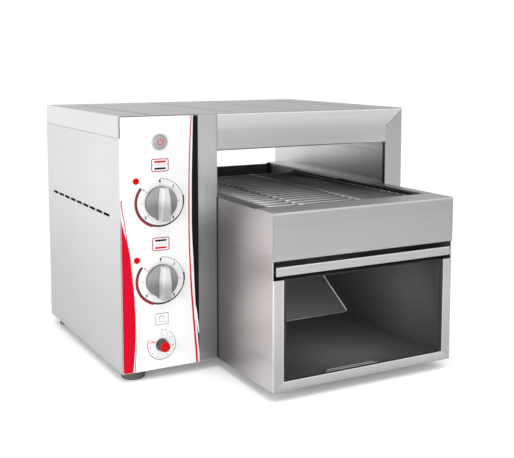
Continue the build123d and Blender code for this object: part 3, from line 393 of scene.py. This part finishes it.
# finish of every CAD node
nodeFinish = {
    "coverSteel": ["top_cover"],
    "sideSteel": ["left_side_panel"],
    "columnSteel": ["front_panel"],
    "hoodSteel": ["hood_front"],
    "flangeSteel": ["right_side_panel"],
    "backSteel": ["rear_panel"],
    "wallSteel": ["partition_wall", "right_inner_wall", "upper_reflector"],
    "boxSideSteel": ["box_left_side", "box_right_side"],
    "fasciaSteel": ["front_fascia"],
    "railSteel": ["box_floor", "crumb_tray"],
    "leftRailShadedSteel": ["left_rail"],
    "rightRailSteel": ["right_rail"],
    "hiddenSteel": ["base_pan", "belt_supports", "tray_runners", "motor_bracket", "lower_reflector",
                    "upper_element_guard", "speed_control"],
    "linerCoat": ["compartment_liner", "toast_tray"],
    "chuteCoat": ["discharge_chute"],
    "wireDark": ["conveyor_belt"],
    "shaftSteel": ["drive_shaft", "idler_shaft", "motor_output_shaft", "upper_heat_spindle",
                   "lower_heat_spindle", "speed_spindle"],
    "toothSteel": ["drive_sprockets", "driven_sprocket", "motor_sprocket"],
    "chainSteel": ["drive_chain"],
    "bronze": ["shaft_bushes"],
    "cream": ["chain_tensioner", "upper_heat_regulator", "lower_heat_regulator", "terminal_block"],
    "motorPaint": ["gear_motor"],
    "quartz": ["upper_heating_tubes", "lower_heating_tubes"],
    "ceramic": ["tube_end_caps"],
    "wool": ["insulation_blanket"],
    "knobPaint": ["upper_heat_knob", "lower_heat_knob"],
    "blackPlastic": ["speed_knob", "cable_gland"],
    "redPlastic": ["speed_knob_cap"],
    "buttonSteel": ["power_switch", "power_button"],
    "lampLens": ["pilot_lamps"],
    "board": ["control_board"],
    "wireSleeve": ["wiring_loom"],
    "rubber": ["feet"],
    "screwSteel": ["rear_screws"],
    "labelFilm": ["control_label"],
}
for finish, names in nodeFinish.items():
    for name in names:
        nodes[name].data.materials.clear()
        nodes[name].data.materials.append(materials[finish])


# wire belt: cross wires that hook into each other; loops and hooks reach over the next wire
belt = dict(wires=86, radius=0.80, sides=6, joints=(-63.0, 34.0), reach=1.14, loopBase=2.0, loopTip=3.4,
            hookLift=1.2, wrapRadius=22.85)


def beltSurface(s, h, front, back, level, radius):
    # a stadium in Y and Z: two straight runs and two half turns, s along it, h outwards
    run, turn = back - front, math.pi * radius
    s = np.mod(s, 2 * (run + turn))
    t = [s, (s - run) / radius, s - run - turn, (s - 2 * run - turn) / radius]
    where = [s < run, s < run + turn, s < 2 * run + turn, s >= 2 * run + turn]
    ny = np.select(where, [0 * s, np.sin(t[1]), 0 * s, -np.sin(t[3])])
    nz = np.select(where, [1 + 0 * s, np.cos(t[1]), -1 + 0 * s, -np.cos(t[3])])
    y = np.select(where, [front + t[0], back + 0 * s, back - t[2], front + 0 * s])
    return y + (radius + h) * ny, level + (radius + h) * nz, ny, nz


def wireBelt(look, first):   # every second wire, starting with the given one
    low, high = casingBox("conveyor_belt")
    radius = look["wrapRadius"]
    level = (low[2] + high[2]) / 2
    outer = (high[2] - low[2]) / 2
    front, back = low[1] + outer, high[1] - outer
    half, middle = (high[0] - low[0]) / 2 - look["radius"], (high[0] + low[0]) / 2
    pitch = 2 * (back - front + math.pi * radius) / look["wires"]
    base, tip, reach, lift = look["loopBase"], look["loopTip"], look["reach"], look["hookLift"]
    # points as (along the wire in millimetres, towards the next wire in pitches, outwards in millimetres)
    loop = [(-base - 2.2, 0, 0), (-base - 0.7, 0, 0), (-base, 0.18, 0), (-base, 0.75, 0.3 * lift),
            (-tip, 0.95, lift), (-tip + 0.7, reach, lift), (tip - 0.7, reach, lift), (tip, 0.95, lift),
            (base, 0.75, 0.3 * lift), (base, 0.18, 0), (base + 0.7, 0, 0), (base + 2.2, 0, 0)]
    hook = [(3.2, reach - 0.05, lift), (1.0, reach, lift), (0.1, reach - 0.15, lift), (0, 0.8, 0.4 * lift),
            (0, 0.2, 0), (0.9, 0, 0)]
    line = [(-half + u, v, w) for u, v, w in hook]
    for x in look["joints"]:
        line += [(x + u, v, w) for u, v, w in loop]
    line += [(half - u, v, w) for u, v, w in hook[::-1]]
    line = np.array(line)
    s = (np.arange(first, look["wires"], 2)[:, None] + line[None, :, 1]) * pitch
    y, z, ny, nz = beltSurface(s, line[None, :, 2] + 0 * s, front, back, level, radius)
    x = middle + line[None, :, 0] + 0 * s
    paths = place(np.stack([x, y, z], -1))
    up = np.stack([0 * ny, ny, nz], -1)
    return tubes(paths, up, look["radius"] * mm, look["sides"])


# painted highlight: every second wire gets the lighter copy of the wire steel, the wires between the darker
# one
beltPiece = addPiece("belt_wires", wireBelt(belt, 0), materials["wirePaintedHighlight"], "machine")
addPiece("belt_wires_between", wireBelt(belt, 1), materials["wireDark"], "machine")
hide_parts("conveyor_belt")
print("belt made")


# print on the label: thin flat plates, one piece for each ink
labelLow, labelHigh = casingBox("control_label")
labelFace = labelLow[1]
inks = {"printRed": [], "printPink": [], "printBlack": [], "printDark": [], "printGrey": [], "printWhite": []}
inkDepth = dict(proud=0.05, sunk=0.05, bold=0.075, lineLevel=0.3, bandLevel=0.4)


def strip(left, right, level=0.0, face=labelFace):
    # a closed ribbon: at each station the corners left front, right front, right back, left back;
    # level lifts ink over ink by that share of its depth
    left, right = np.asarray(left, float), np.asarray(right, float)
    front = face - inkDepth["proud"] * (1 + level)
    back = face + inkDepth["sunk"]
    columns = [(left, front), (right, front), (right, back), (left, back)]
    points = np.stack([np.stack([p[:, 0], np.full(len(p), y), p[:, 1]], -1) for p, y in columns], 1)
    rows = len(left)
    faces = ringFaces(rows, 4).tolist()
    faces += [[3, 2, 1, 0], [4 * rows - 4, 4 * rows - 3, 4 * rows - 2, 4 * rows - 1]]
    a, b = left[1] - left[0], right[0] - left[0]
    if a[0] * b[1] - a[1] * b[0] > 0:   # stations that run the other way round
        faces = [f[::-1] for f in faces]
    return place(points), faces


arcSteps = dict(degrees=4, fewest=6)


def arc(centre, radius, start, end, width, stretch=(1, 1)):
    # a band round a centre: centre + (radius +- width / 2) * (sin a, cos a) * stretch, degrees clockwise
    # from the top; width is a number or a function of the way along
    steps = max(arcSteps["fewest"], int(abs(end - start) / arcSteps["degrees"]))
    t = np.linspace(0, 1, steps)
    a = np.radians(start + (end - start) * t)
    w = (width(t) if callable(width) else np.full(steps, float(width))) / 2
    direction = np.stack([np.sin(a), np.cos(a)], -1) * stretch
    outer, inner = direction * (radius + w)[:, None], direction * (radius - w)[:, None]
    return np.array(centre) + outer, np.array(centre) + inner


def bar(centre, radius, angle, length, width):
    # a short tick on a dial: centre + (radius +- length / 2) * (sin a, cos a), half the width to each side
    a = math.radians(angle)
    out, side = np.array([math.sin(a), math.cos(a)]), np.array([math.cos(a), -math.sin(a)])
    ends = np.array([radius - length / 2, radius + length / 2])
    line = np.array(centre) + ends[:, None] * out
    return line - side * width / 2, line + side * width / 2


def rectangle(x0, x1, z0, z1):   # left and right edge, each from bottom to top
    return [(x0, z0), (x0, z1)], [(x1, z0), (x1, z1)]


def roundedFrame(x0, x1, z0, z1, radius, width):
    # closed outline of four arcs and four runs, as two nested loops
    centres = [(x1 - radius, z1 - radius, 0), (x1 - radius, z0 + radius, 90),
               (x0 + radius, z0 + radius, 180), (x0 + radius, z1 - radius, 270)]
    outer, inner = [], []
    for cx, cz, first in centres:
        a = np.radians(np.linspace(first, first + 90, arcSteps["fewest"]))
        direction = np.stack([np.sin(a), np.cos(a)], -1)
        outer.append(np.array([cx, cz]) + direction * radius)
        inner.append(np.array([cx, cz]) + direction * (radius - width))
    outer, inner = np.concatenate(outer), np.concatenate(inner)
    return np.concatenate([outer, outer[:1]]), np.concatenate([inner, inner[:1]])


def glyph(text, size, x, z):   # a number as a thin solid, centred on x and z and made bolder by its offset
    curve = bpy.data.curves.new("glyph", "FONT")
    curve.body = text
    curve.size = size
    curve.offset = inkDepth["bold"] * size
    curve.align_x, curve.align_y = "CENTER", "CENTER"
    curve.extrude = inkDepth["proud"]
    holder = bpy.data.objects.new("glyph", curve)
    bpy.context.scene.collection.objects.link(holder)
    mesh = bpy.data.meshes.new_from_object(holder.evaluated_get(bpy.context.evaluated_depsgraph_get()))
    flat = np.array([v.co for v in mesh.vertices], float)
    faces = [list(p.vertices) for p in mesh.polygons]
    bpy.data.objects.remove(holder)
    bpy.data.meshes.remove(mesh)
    middle = (flat.min(0) + flat.max(0)) / 2
    flat -= (middle[0], middle[1], 0)
    return place(np.stack([x + flat[:, 0], labelFace - flat[:, 2], z + flat[:, 1]], -1)), faces


def smoothEdge(points, count=60):
    # a curve through the points: between two, the cubic that has both points and the slopes at both,
    # with the slope at a point taken from its neighbours
    points = np.asarray(points, float)
    t = np.concatenate([[0], np.cumsum(np.linalg.norm(np.diff(points, axis=0), axis=1))])
    u = np.linspace(0, t[-1], count)
    slope = np.gradient(points, t, axis=0)
    i = np.clip(np.searchsorted(t, u, side="right") - 1, 0, len(t) - 2)
    h = (t[i + 1] - t[i])[:, None]
    k = ((u - t[i])[:, None]) / h
    return ((2 * k**3 - 3 * k**2 + 1) * points[i] + (k**3 - 2 * k**2 + k) * h * slope[i]
            + (-2 * k**3 + 3 * k**2) * points[i + 1] + (k**3 - k**2) * h * slope[i + 1])


# edges and middle lines of the printed stripes, x and z in casing millimetres
graphics = {
    "redEdge": [(1.6, 218), (4.6, 203), (8.8, 189), (12.1, 171), (14.3, 155), (16.1, 136), (17.8, 119),
                (19.7, 90), (20.1, 71), (19.9, 53), (18.6, 30), (16.9, 12), (15.6, 0.3)],
    "leftLine": [(1.5, 246), (2.6, 233), (5.6, 216), (7.9, 199), (10.2, 183), (12.5, 171), (14.9, 155),
                 (16.8, 136), (18.2, 119), (19.4, 100)],
    "lowLine": [(21.2, 72), (21.1, 53), (20.5, 35), (19.2, 17), (18.0, 0.3)],
    "blackEdge": [(110.3, 360.5), (109.0, 312), (107.9, 273), (107.6, 237), (107.4, 208), (108.2, 179),
                  (109.7, 149), (111.2, 110), (113.1, 75), (115.2, 46), (117.6, 16)],
    "sliver": [(113.0, 84), (114.6, 68), (116.2, 54), (117.7, 43)],
    "redLine": [(107.7, 360.5), (106.0, 332), (104.6, 302), (103.7, 273), (103.3, 238), (103.1, 208),
                (103.4, 179), (104.4, 150), (106.2, 111), (108.4, 78), (110.6, 50), (112.7, 25),
                (114.4, 0.3)],
    # half widths: from the upper to the lower end, at the sliver's middle, and at heights along the red line;
    # the sliver's half width follows the sine between two angles in radians
    "leftWidth": (0.85, 0.1), "lowWidth": (0.05, 0.75), "sliverWidth": 0.8, "sliverSwell": (0.25, 2.6),
    "redHeights": (0, 40, 150, 361), "redWidths": (1.6, 1.5, 1.15, 0.8),
    "leftSteps": 60, "lowSteps": 30, "sliverSteps": 24, "redSteps": 90,
    "pinkAbove": 252, "margin": 0.05, "footRadius": 1.4,
}


def stripe(points, width, level=0.0):   # a ribbon from points - width to points + width
    sideways = np.asarray(width)[:, None] * (1, 0)
    return strip(points - sideways, points + sideways, level)


def labelStripes(look):
    # red field between the label's left edge and a curve, black field beside its right edge, lines along both
    left, right = labelLow[0] + look["margin"], labelHigh[0] - look["margin"]
    edge = smoothEdge(look["redEdge"])
    chamfer = np.maximum(look["footRadius"] - edge[:, 1], 0)
    inks["printRed"].append(strip(np.stack([left + chamfer, edge[:, 1]], -1), edge))
    for name in ("left", "low"):
        count = look[name + "Steps"]
        middle = smoothEdge(look[name + "Line"], count)
        width = np.linspace(*look[name + "Width"], count)
        inks["printPink"].append(stripe(middle, width, inkDepth["lineLevel"]))
    black = smoothEdge(look["blackEdge"])
    inks["printBlack"].append(strip(black, np.stack([np.full(len(black), right), black[:, 1]], -1)))
    sliver = smoothEdge(look["sliver"], look["sliverSteps"])
    swell = np.sin(np.linspace(*look["sliverSwell"], len(sliver)))
    inks["printWhite"].append(stripe(sliver, look["sliverWidth"] * swell, inkDepth["bandLevel"]))
    red = smoothEdge(look["redLine"], look["redSteps"])
    width = np.interp(red[:, 1], look["redHeights"], look["redWidths"])
    cut = int(np.argmax(red[:, 1] < look["pinkAbove"]))
    inks["printPink"].append(stripe(red[:cut + 1], width[:cut + 1]))
    inks["printRed"].append(stripe(red[cut:], width[cut:]))


labelStripes(graphics)

# the two heat dials: a scale that grows from a grey hairline to a heavy dark band with a red rim
# numbers are (angle, text, radius of the tick under it), ticks (angle, radius)
heatDial = dict(radius=34.8, stretch=(1.03, 0.97), thinEnd=76, redStart=198, redEnd=306, end=309,
                hairline=0.9, hairlineIn=0.4, numberRadius=30.0, numberSize=5.0,
                numbers=((0, "0", 25.8), (43, "1", 26.4), (139, "2", 25.6), (227, "3", 26.0)),
                ticks=((90, 27.8), (270, 27.6), (307, 26.0)), tickWidth=0.8, numberTick=2.4, longTick=3.6,
                widthAt=(0, 0.06, 0.16, 0.35, 0.55, 1), width=(2.5, 2.4, 1.6, 2.4, 3.3, 3.5),
                redOut=1.9, redWidth=(1.8, 1.1), markAngle=308, markOut=0.6, markSize=2.2)


def centreOf(node):   # x and z of a node's middle
    low, high = casingBox(node)
    return (low[0] + high[0]) / 2, (low[2] + high[2]) / 2


def heatScale(look, centre):
    # grey hairline, then a dark band of the listed widths with a red rim, numbers and ticks at their angles
    r, turn, end, stretch = look["radius"], look["thinEnd"], look["end"], look["stretch"]

    def bandWidth(t):   # width at t from 0 to 1 along the band
        return np.interp(t, look["widthAt"], look["width"])

    def rimWidth(t):   # from the first width to the last
        return np.interp(t, (0, 1), look["redWidth"])

    thin = arc(centre, r - look["hairlineIn"], 0, turn, look["hairline"], stretch)
    inks["printGrey"].append(strip(*thin))
    inks["printDark"].append(strip(*arc(centre, r, turn, end, bandWidth, stretch)))
    rim = arc(centre, r + look["redOut"], look["redStart"], look["redEnd"], rimWidth, stretch)
    inks["printRed"].append(strip(*rim, inkDepth["bandLevel"]))
    for angle, text, tick in look["numbers"]:
        a, far = math.radians(angle), look["numberRadius"]
        x, z = centre[0] + far * math.sin(a), centre[1] + far * math.cos(a)
        inks["printBlack"].append(glyph(text, look["numberSize"], x, z))
        inks["printPink"].append(strip(*bar(centre, tick, angle, look["numberTick"], look["tickWidth"])))
    for angle, radius in look["ticks"]:
        inks["printPink"].append(strip(*bar(centre, radius, angle, look["longTick"], look["tickWidth"])))
    mark = bar(centre, look["numberRadius"] + look["markOut"], look["markAngle"], look["markSize"],
               look["markSize"])
    inks["printRed"].append(strip(*mark))


upperDial = centreOf("upper_heat_spindle")
lowerDial = centreOf("lower_heat_spindle")
speedDial = centreOf("speed_spindle")
heatScale(heatDial, upperDial)
heatScale(heatDial, lowerDial)

# the speed scale: dashes, then bands as (ink, first angle, last angle, first width, last width);
# ticks are (angle, radius), a tick's own size is (length, width), the pointer has all four
speedScale = dict(radius=21.4, dashes=((-2, 7), (14, 22)), dashWidth=0.8,
                  bands=(("printDark", 32, 232, 0.5, 1.0), ("printRed", 232, 297, 0.9, 1.4)),
                  ticks=((0, 17.5), (30, 18), (60, 18), (100, 17.5), (150, 18), (200, 18), (232, 18)),
                  tick=(2.2, 0.9), smallTick=(1.0, 0.7), smallIn=3.6, smallTurn=4,
                  redTicks=((262, 17.5), (285, 17.5)), redTick=(2.2, 1.4),
                  pointer=(14.0, 293, 6.5, 1.6))


def speedRing(look, centre):   # dashes, bands and ticks round the small knob
    r = look["radius"]
    for first, last in look["dashes"]:
        inks["printDark"].append(strip(*arc(centre, r, first, last, look["dashWidth"])))
    for ink, start, end, first, last in look["bands"]:
        width = [first, last]
        inks[ink].append(strip(*arc(centre, r, start, end, lambda t: np.interp(t, (0, 1), width))))
    for angle, radius in look["ticks"]:
        inks["printDark"].append(strip(*bar(centre, radius, angle, *look["tick"])))
        small = bar(centre, radius - look["smallIn"], angle + look["smallTurn"], *look["smallTick"])
        inks["printGrey"].append(strip(*small))
    for angle, radius in look["redTicks"]:
        inks["printPink"].append(strip(*bar(centre, radius, angle, *look["redTick"])))
    inks["printRed"].append(strip(*bar(centre, *look["pointer"])))


speedRing(speedScale, speedDial)

# pictograms over the dials
# frames as (left, right) and (bottom, top); the heaters are bars between two heights and two margins
heatPicture = dict(x=(46.3, 72.6), upper=(283.2, 301.6), lower=(170.9, 190.2), corner=3.0, line=1.4,
                   margins=(4.6, 4.4), high=(5.9, 3.2), low=(3.0, 5.7), waves=4, waveStart=6.6, wavePitch=4.6,
                   swing=0.7, bend=3.1, lean=0.5, waveHeight=1.7, waveLine=0.3, slotIn=(1.6, 2.4),
                   slot=(0.8, 0.9), waveSteps=9)
breadPicture = dict(x=(49.2, 69.8), z=(63.8, 80.7), corner=2.4, line=0.8, raised=1.2, crust=3.6, crustEnd=112,
                    crustLine=0.7, shoulder=(1.4, 3.9), shoulderZ=(4.0, 4.7), crumbHalf=0.5,
                    crumbZ=(6.6, 7.4), slotIn=(2.2, 3.0), slotWidth=0.8, slotZ=(3.2, 4.4))


def heatPictogram(look, z, upperInk, lowerInk):
    # frame, a bar for each heater and between them waves: x + swing * sin(bend * t) + lean * t, height * t
    (x0, x1), (z0, z1) = look["x"], z
    left, right = x0 + look["margins"][0], x1 - look["margins"][1]
    middle = (z0 + z1) / 2
    inks["printPink"].append(strip(*roundedFrame(x0, x1, z0, z1, look["corner"], look["line"])))
    inks[upperInk].append(strip(*rectangle(left, right, z1 - look["high"][0], z1 - look["high"][1])))
    inks[lowerInk].append(strip(*rectangle(left, right, z0 + look["low"][0], z0 + look["low"][1])))
    t = np.linspace(-1, 1, look["waveSteps"])
    for i in range(look["waves"]):
        x = x0 + look["waveStart"] + look["wavePitch"] * i
        wave = np.stack([x + look["swing"] * np.sin(t * look["bend"]) + look["lean"] * t,
                         middle + look["waveHeight"] * t], -1)
        inks["printDark"].append(stripe(wave, np.full(len(t), look["waveLine"])))
    width, half = look["slot"]
    for x in (x0 + look["slotIn"][0], x1 - look["slotIn"][1]):
        inks["printGrey"].append(strip(*rectangle(x, x + width, middle - half, middle + half)))


def breadPictogram(look):   # frame, an arc for the crust, a short bar below each of its ends, and dots
    (x0, x1), (z0, z1) = look["x"], look["z"]
    middle = (x0 + x1) / 2
    inks["printPink"].append(strip(*roundedFrame(x0, x1, z0, z1, look["corner"], look["line"])))
    end, centre = look["crustEnd"], (middle, (z0 + z1) / 2 + look["raised"])
    inks["printDark"].append(strip(*arc(centre, look["crust"], -end, end, look["crustLine"])))
    near, far = look["shoulder"]
    low, high = look["shoulderZ"]
    for left, right in ((-far, -near), (near, far)):
        inks["printDark"].append(strip(*rectangle(middle + left, middle + right, z0 + low, z0 + high)))
    half, (low, high) = look["crumbHalf"], look["crumbZ"]
    inks["printGrey"].append(strip(*rectangle(middle - half, middle + half, z0 + low, z0 + high)))
    low, high = look["slotZ"]
    for x in (x0 + look["slotIn"][0], x1 - look["slotIn"][1]):
        inks["printGrey"].append(strip(*rectangle(x, x + look["slotWidth"], z0 + low, z0 + high)))


heatPictogram(heatPicture, heatPicture["upper"], "printRed", "printBlack")
heatPictogram(heatPicture, heatPicture["lower"], "printBlack", "printRed")
breadPictogram(breadPicture)
for ink, parts in inks.items():
    addPiece("label_" + ink, joined(parts), materials[ink], "machine", smooth=False)
print("label printed")


# push button: power symbol on its cap
button = dict(radius=4.1, line=1.15, gap=36, stem=(0.6, 1.0))


def powerSymbol(look):   # a ring with a gap of so many degrees on both sides of the top, and a stem in it
    x, z = centreOf("power_button")
    face = casingBox("power_button")[0][1]
    r, half = look["radius"], look["line"] / 2
    bottom, above = look["stem"]
    ring = strip(*arc((x, z), r, look["gap"], 360 - look["gap"], look["line"]), face=face)
    stem = strip(*rectangle(x - half, x + half, z + bottom, z + r + above), face=face)
    return joined([ring, stem])


addPiece("power_symbol", powerSymbol(button), materials["printRed"], "push_button",
         smooth=False)


# small bars: painted shadow in gaps where sheets meet and beside the belt, behind the vent slots and in the
# pressed lines of the cover
# corner 4 i + 2 j + k of a bar takes its x by i, its y by j and its z by k
barFaces = [[0, 1, 3, 2], [4, 6, 7, 5], [0, 4, 5, 1], [2, 3, 7, 6], [0, 2, 6, 4], [1, 5, 7, 3]]


def bars(boxes):   # closed bars between two opposite corners, in casing millimetres
    parts = []
    for low, high in boxes:
        x, y, z = np.meshgrid(*zip(low, high), indexing="ij")
        parts.append((place(np.stack([x, y, z], -1).reshape(-1, 3)), barFaces))
    return joined(parts)


railFace = casingBox("right_rail")[0][0]
beltTop = casingBox("conveyor_belt")[1][2]
railLeft, railFoot = railFace - 0.3, 223.0
# painted shadow: near-black bars in gaps and beside the right rail where only shade is seen
gaps = {
    "cover corner": ((0.15, -0.04, 331.5), (1.25, 0.1, 361.0)),
    "over the label": ((0.3, labelLow[1] + 0.1, labelHigh[2] + 0.02),
                       (labelHigh[0], 0.0, labelHigh[2] + 0.8)),
    "column and box": ((147.2, -0.5, 1.5), (148.35, 0.1, 241.0)),
    "left rear corner": ((164.2, 351.0, 205.0), (169.4, 351.4, 240.5)),
    "right rear corner": ((426.6, 351.0, 205.0), (431.8, 351.4, 240.5)),
    "front of the right rail": ((railLeft, -140.0, railFoot), (railFace, 0.0, 238.5)),
    "middle of the right rail": ((railLeft, 0.0, railFoot), (railFace, 110.0, beltTop + 2.0)),
    "rear of the right rail": ((railLeft, 110.0, railFoot), (railFace, 260.0, beltTop + 0.5)),
}
addPiece("shadow_gaps", bars(gaps.values()), materials["paintedShadowSteel"], "machine", smooth=False)

# a near-black sheet behind the slots of the left side paints the shade inside them
ventShade = dict(left=5.0, thickness=0.3, front=30, back=315, low=212, high=226)
addPiece("vent_shade_sheet", bars([((ventShade["left"], ventShade["front"], ventShade["low"]),
                              (ventShade["left"] + ventShade["thickness"], ventShade["back"], ventShade["high"]))]),
         materials["deepShadow"], "machine", smooth=False)

# dark lines along the pressed lines of the cover: painted shade in the creases
grooves = dict(places=(52, 182, 294, 421), half=0.8, front=16, back=333, floor=361.2, depth=0.08)
addPiece("groove_lines", bars([((x - grooves["half"], grooves["front"], grooves["floor"]),
                                (x + grooves["half"], grooves["back"], grooves["floor"] + grooves["depth"]))
                               for x in grooves["places"]]),
         materials["grooveSteel"], "machine", smooth=False)

# bright strips along the chute's edges in the toast compartment
chute = dict(slope=31, edge=1.9, flange=2.0, rise=0.3, foot=1.2, back=2.5, trayWall=3.0)


def slopedBar(low, high, slope):   # a bar whose height grows by tan(slope) times the way along Y
    points, faces = bars([(low, high)])
    points[:, 2] += (points[:, 1] - place(low)[1]) * math.tan(math.radians(slope))
    return points, faces


def chuteEdges(look):   # a bar up the chute's right flange and one along its foot, just above the tray
    low, high = casingBox("discharge_chute")
    floor = casingBox("toast_tray")[1][2] - look["trayWall"]
    top, inner = floor + look["flange"], high[0] - look["edge"]
    end = (high[0], high[1] - look["back"], top + look["rise"])
    edge = slopedBar((inner, low[1], top), end, look["slope"])
    foot = bars([((low[0], low[1], floor), (inner, low[1] + look["foot"], floor + look["rise"]))])
    return edge, foot


chuteEdge, chuteFoot = chuteEdges(chute)
addPiece("chute_edge", chuteEdge, materials["brightTrim"], "machine", smooth=False)
addPiece("chute_foot", chuteFoot, materials["dullTrim"], "machine", smooth=False)

grip = dict(left=229.9, right=318.8, height=16.7, depth=5.0, wall=0.5, frontInset=2, rearInset=6, rise=0.3)


def gripHighlights(look):   # bright bars along the front and rear rim of the tray's finger grip: painted highlights
    front, left, right = casingBox("toast_tray")[0][1], look["left"], look["right"]
    top, rise, inset, rear = look["height"], look["rise"], look["frontInset"], look["rearInset"]
    back = front + look["depth"]
    return bars([((left + inset, front, top), (right - inset, front + look["wall"], top + rise)),
                 ((left + rear, back - look["wall"], top), (right - rear, back, top + 2 * rise))])


addPiece("tray_grip_highlights", gripHighlights(grip), materials["gripTrim"], "toast_drawer", smooth=False)
print("trim made")


# floor, lights and camera
floorLook = dict(radius=1.15, inner=0.4, sides=96, middle=-0.1, colour=(0.93, 0.93, 0.93), roughness=0.6,
                 tone=0.004, relief=0.02, glow=0.08)


def floorDisc(look):   # a fan round the middle and a ring round the fan, at the feet's lowest level
    sides, level = look["sides"], cadBox[0].z
    a = np.linspace(0, 2 * np.pi, sides, endpoint=False)
    r = look["radius"] * np.array([[look["inner"]], [1.0]])
    rings = np.stack([r * np.cos(a), r * np.sin(a) + look["middle"], np.full((2, sides), level)], -1)
    points = np.concatenate([rings.reshape(-1, 3), [[0, look["middle"], level]]])
    faces = ringFaces(2, sides)[:, ::-1].tolist()
    faces += [[2 * sides, i, (i + 1) % sides] for i in range(sides)]
    mesh = bpy.data.meshes.new("floor")
    mesh.from_pydata(points.tolist(), [], faces)
    floor = bpy.data.objects.new("floor", mesh)
    bpy.context.scene.collection.objects.link(floor)
    paint = coating("floorPaint", look)
    shader = paint.node_tree.nodes["Principled BSDF"]
    shader.inputs["Emission Color"].default_value = (1, 1, 1, 1)
    shader.inputs["Emission Strength"].default_value = look["glow"]
    mesh.materials.append(paint)


floorDisc(floorLook)

# lobes are (direction, width as a share of the cosine, strength)
sky = dict(base=0.60, backdrop=1.05,
           lobes=(((-0.47, 0.88, 0.0), 0.75, 0.60), ((0.47, -0.88, 0.05), 0.7, 0.25),
                  ((0.5, 0.86, 0.1), 0.7, 0.15), ((-0.47, -0.88, 0.0), 0.8, 0.10),
                  ((-1.0, -0.1, 0.0), 0.4, 0.6), ((0.0, 0.0, 1.0), 0.6, 0.4)))


def studioSky(look):
    # light from all round: base + the sum of strength * smoothstep of the cosine to each lobe's direction;
    # the camera sees a plain backdrop instead
    world = bpy.data.worlds.new("studio")
    bpy.context.scene.world = world
    world.use_nodes = True
    tree = world.node_tree
    tree.nodes.clear()
    coords = tree.nodes.new("ShaderNodeTexCoord")
    value = tree.nodes.new("ShaderNodeValue")
    value.outputs[0].default_value = look["base"]
    result = value.outputs[0]
    for direction, width, strength in look["lobes"]:
        dot = tree.nodes.new("ShaderNodeVectorMath")
        dot.operation = "DOT_PRODUCT"
        dot.inputs[1].default_value = np.array(direction) / np.linalg.norm(direction)
        tree.links.new(coords.outputs["Generated"], dot.inputs[0])
        lobe = tree.nodes.new("ShaderNodeMapRange")
        lobe.interpolation_type = "SMOOTHSTEP"
        lobe.inputs["From Min"].default_value = 1 - width
        lobe.inputs["To Max"].default_value = strength
        tree.links.new(dot.outputs["Value"], lobe.inputs["Value"])
        result = total(tree, result, lobe.outputs["Result"])
    lit = tree.nodes.new("ShaderNodeBackground")
    tree.links.new(result, lit.inputs["Strength"])
    seen = tree.nodes.new("ShaderNodeBackground")
    seen.inputs["Strength"].default_value = look["backdrop"]
    for node in (lit, seen):
        node.inputs["Color"].default_value = (1, 1, 1, 1)
    ray = tree.nodes.new("ShaderNodeLightPath")
    choice = tree.nodes.new("ShaderNodeMixShader")
    output = tree.nodes.new("ShaderNodeOutputWorld")
    tree.links.new(ray.outputs["Is Camera Ray"], choice.inputs["Fac"])
    tree.links.new(lit.outputs["Background"], choice.inputs[1])
    tree.links.new(seen.outputs["Background"], choice.inputs[2])
    tree.links.new(choice.outputs["Shader"], output.inputs["Surface"])


studioSky(sky)

# lamps are discs, in metres and watts, and aren't seen themselves
lamps = {
    "topLight": dict(position=(-0.3, -0.9, 1.9), target=(0, 0, 0.1), size=1.6, power=18),
    "frontLight": dict(position=(-0.6, -2.4, 0.5), target=(-0.1, -0.1, 0.1), size=1.4, power=17),
    "leftLight": dict(position=(-2.2, -1.3, 0.5), target=(-0.15, -0.1, 0.25), size=0.9, power=22),
    "compartmentLight": dict(position=(0.058, -0.255, 0.138), target=(0.058, 0.05, 0.06), size=0.04,
                             power=0.37),
}
for name, look in lamps.items():
    light = bpy.data.lights.new(name, "AREA")
    light.shape = "DISK"
    light.size = look["size"]
    light.energy = look["power"]
    holder = bpy.data.objects.new(name, light)
    bpy.context.scene.collection.objects.link(holder)
    holder.location = look["position"]
    holder.visible_camera = False
    aim = np.array(look["target"]) - look["position"]
    holder.rotation_euler = (math.atan2(math.hypot(aim[0], aim[1]), -aim[2]), 0, math.atan2(-aim[0], aim[1]))

# the camera stands at a place in casing millimetres and turns right and down by radians
cameraLook = dict(position=(-422.77, -1169.57, 439.80), right=0.4986, down=0.1078, lens=63.524, sensor=36,
                  shift=-0.1401, clip=0.05)
eye = bpy.data.cameras.new("camera")
eye.sensor_width = cameraLook["sensor"]
eye.lens = cameraLook["lens"]
eye.shift_y = cameraLook["shift"]
eye.clip_start = cameraLook["clip"]
camera = bpy.data.objects.new("camera", eye)
bpy.context.scene.collection.objects.link(camera)
camera.location = place(cameraLook["position"])
camera.rotation_euler = (math.pi / 2 - cameraLook["down"], 0, -cameraLook["right"])
bpy.context.scene.camera = camera
bpy.context.scene.view_settings.view_transform = "Standard"
print("stage, lights and camera made")
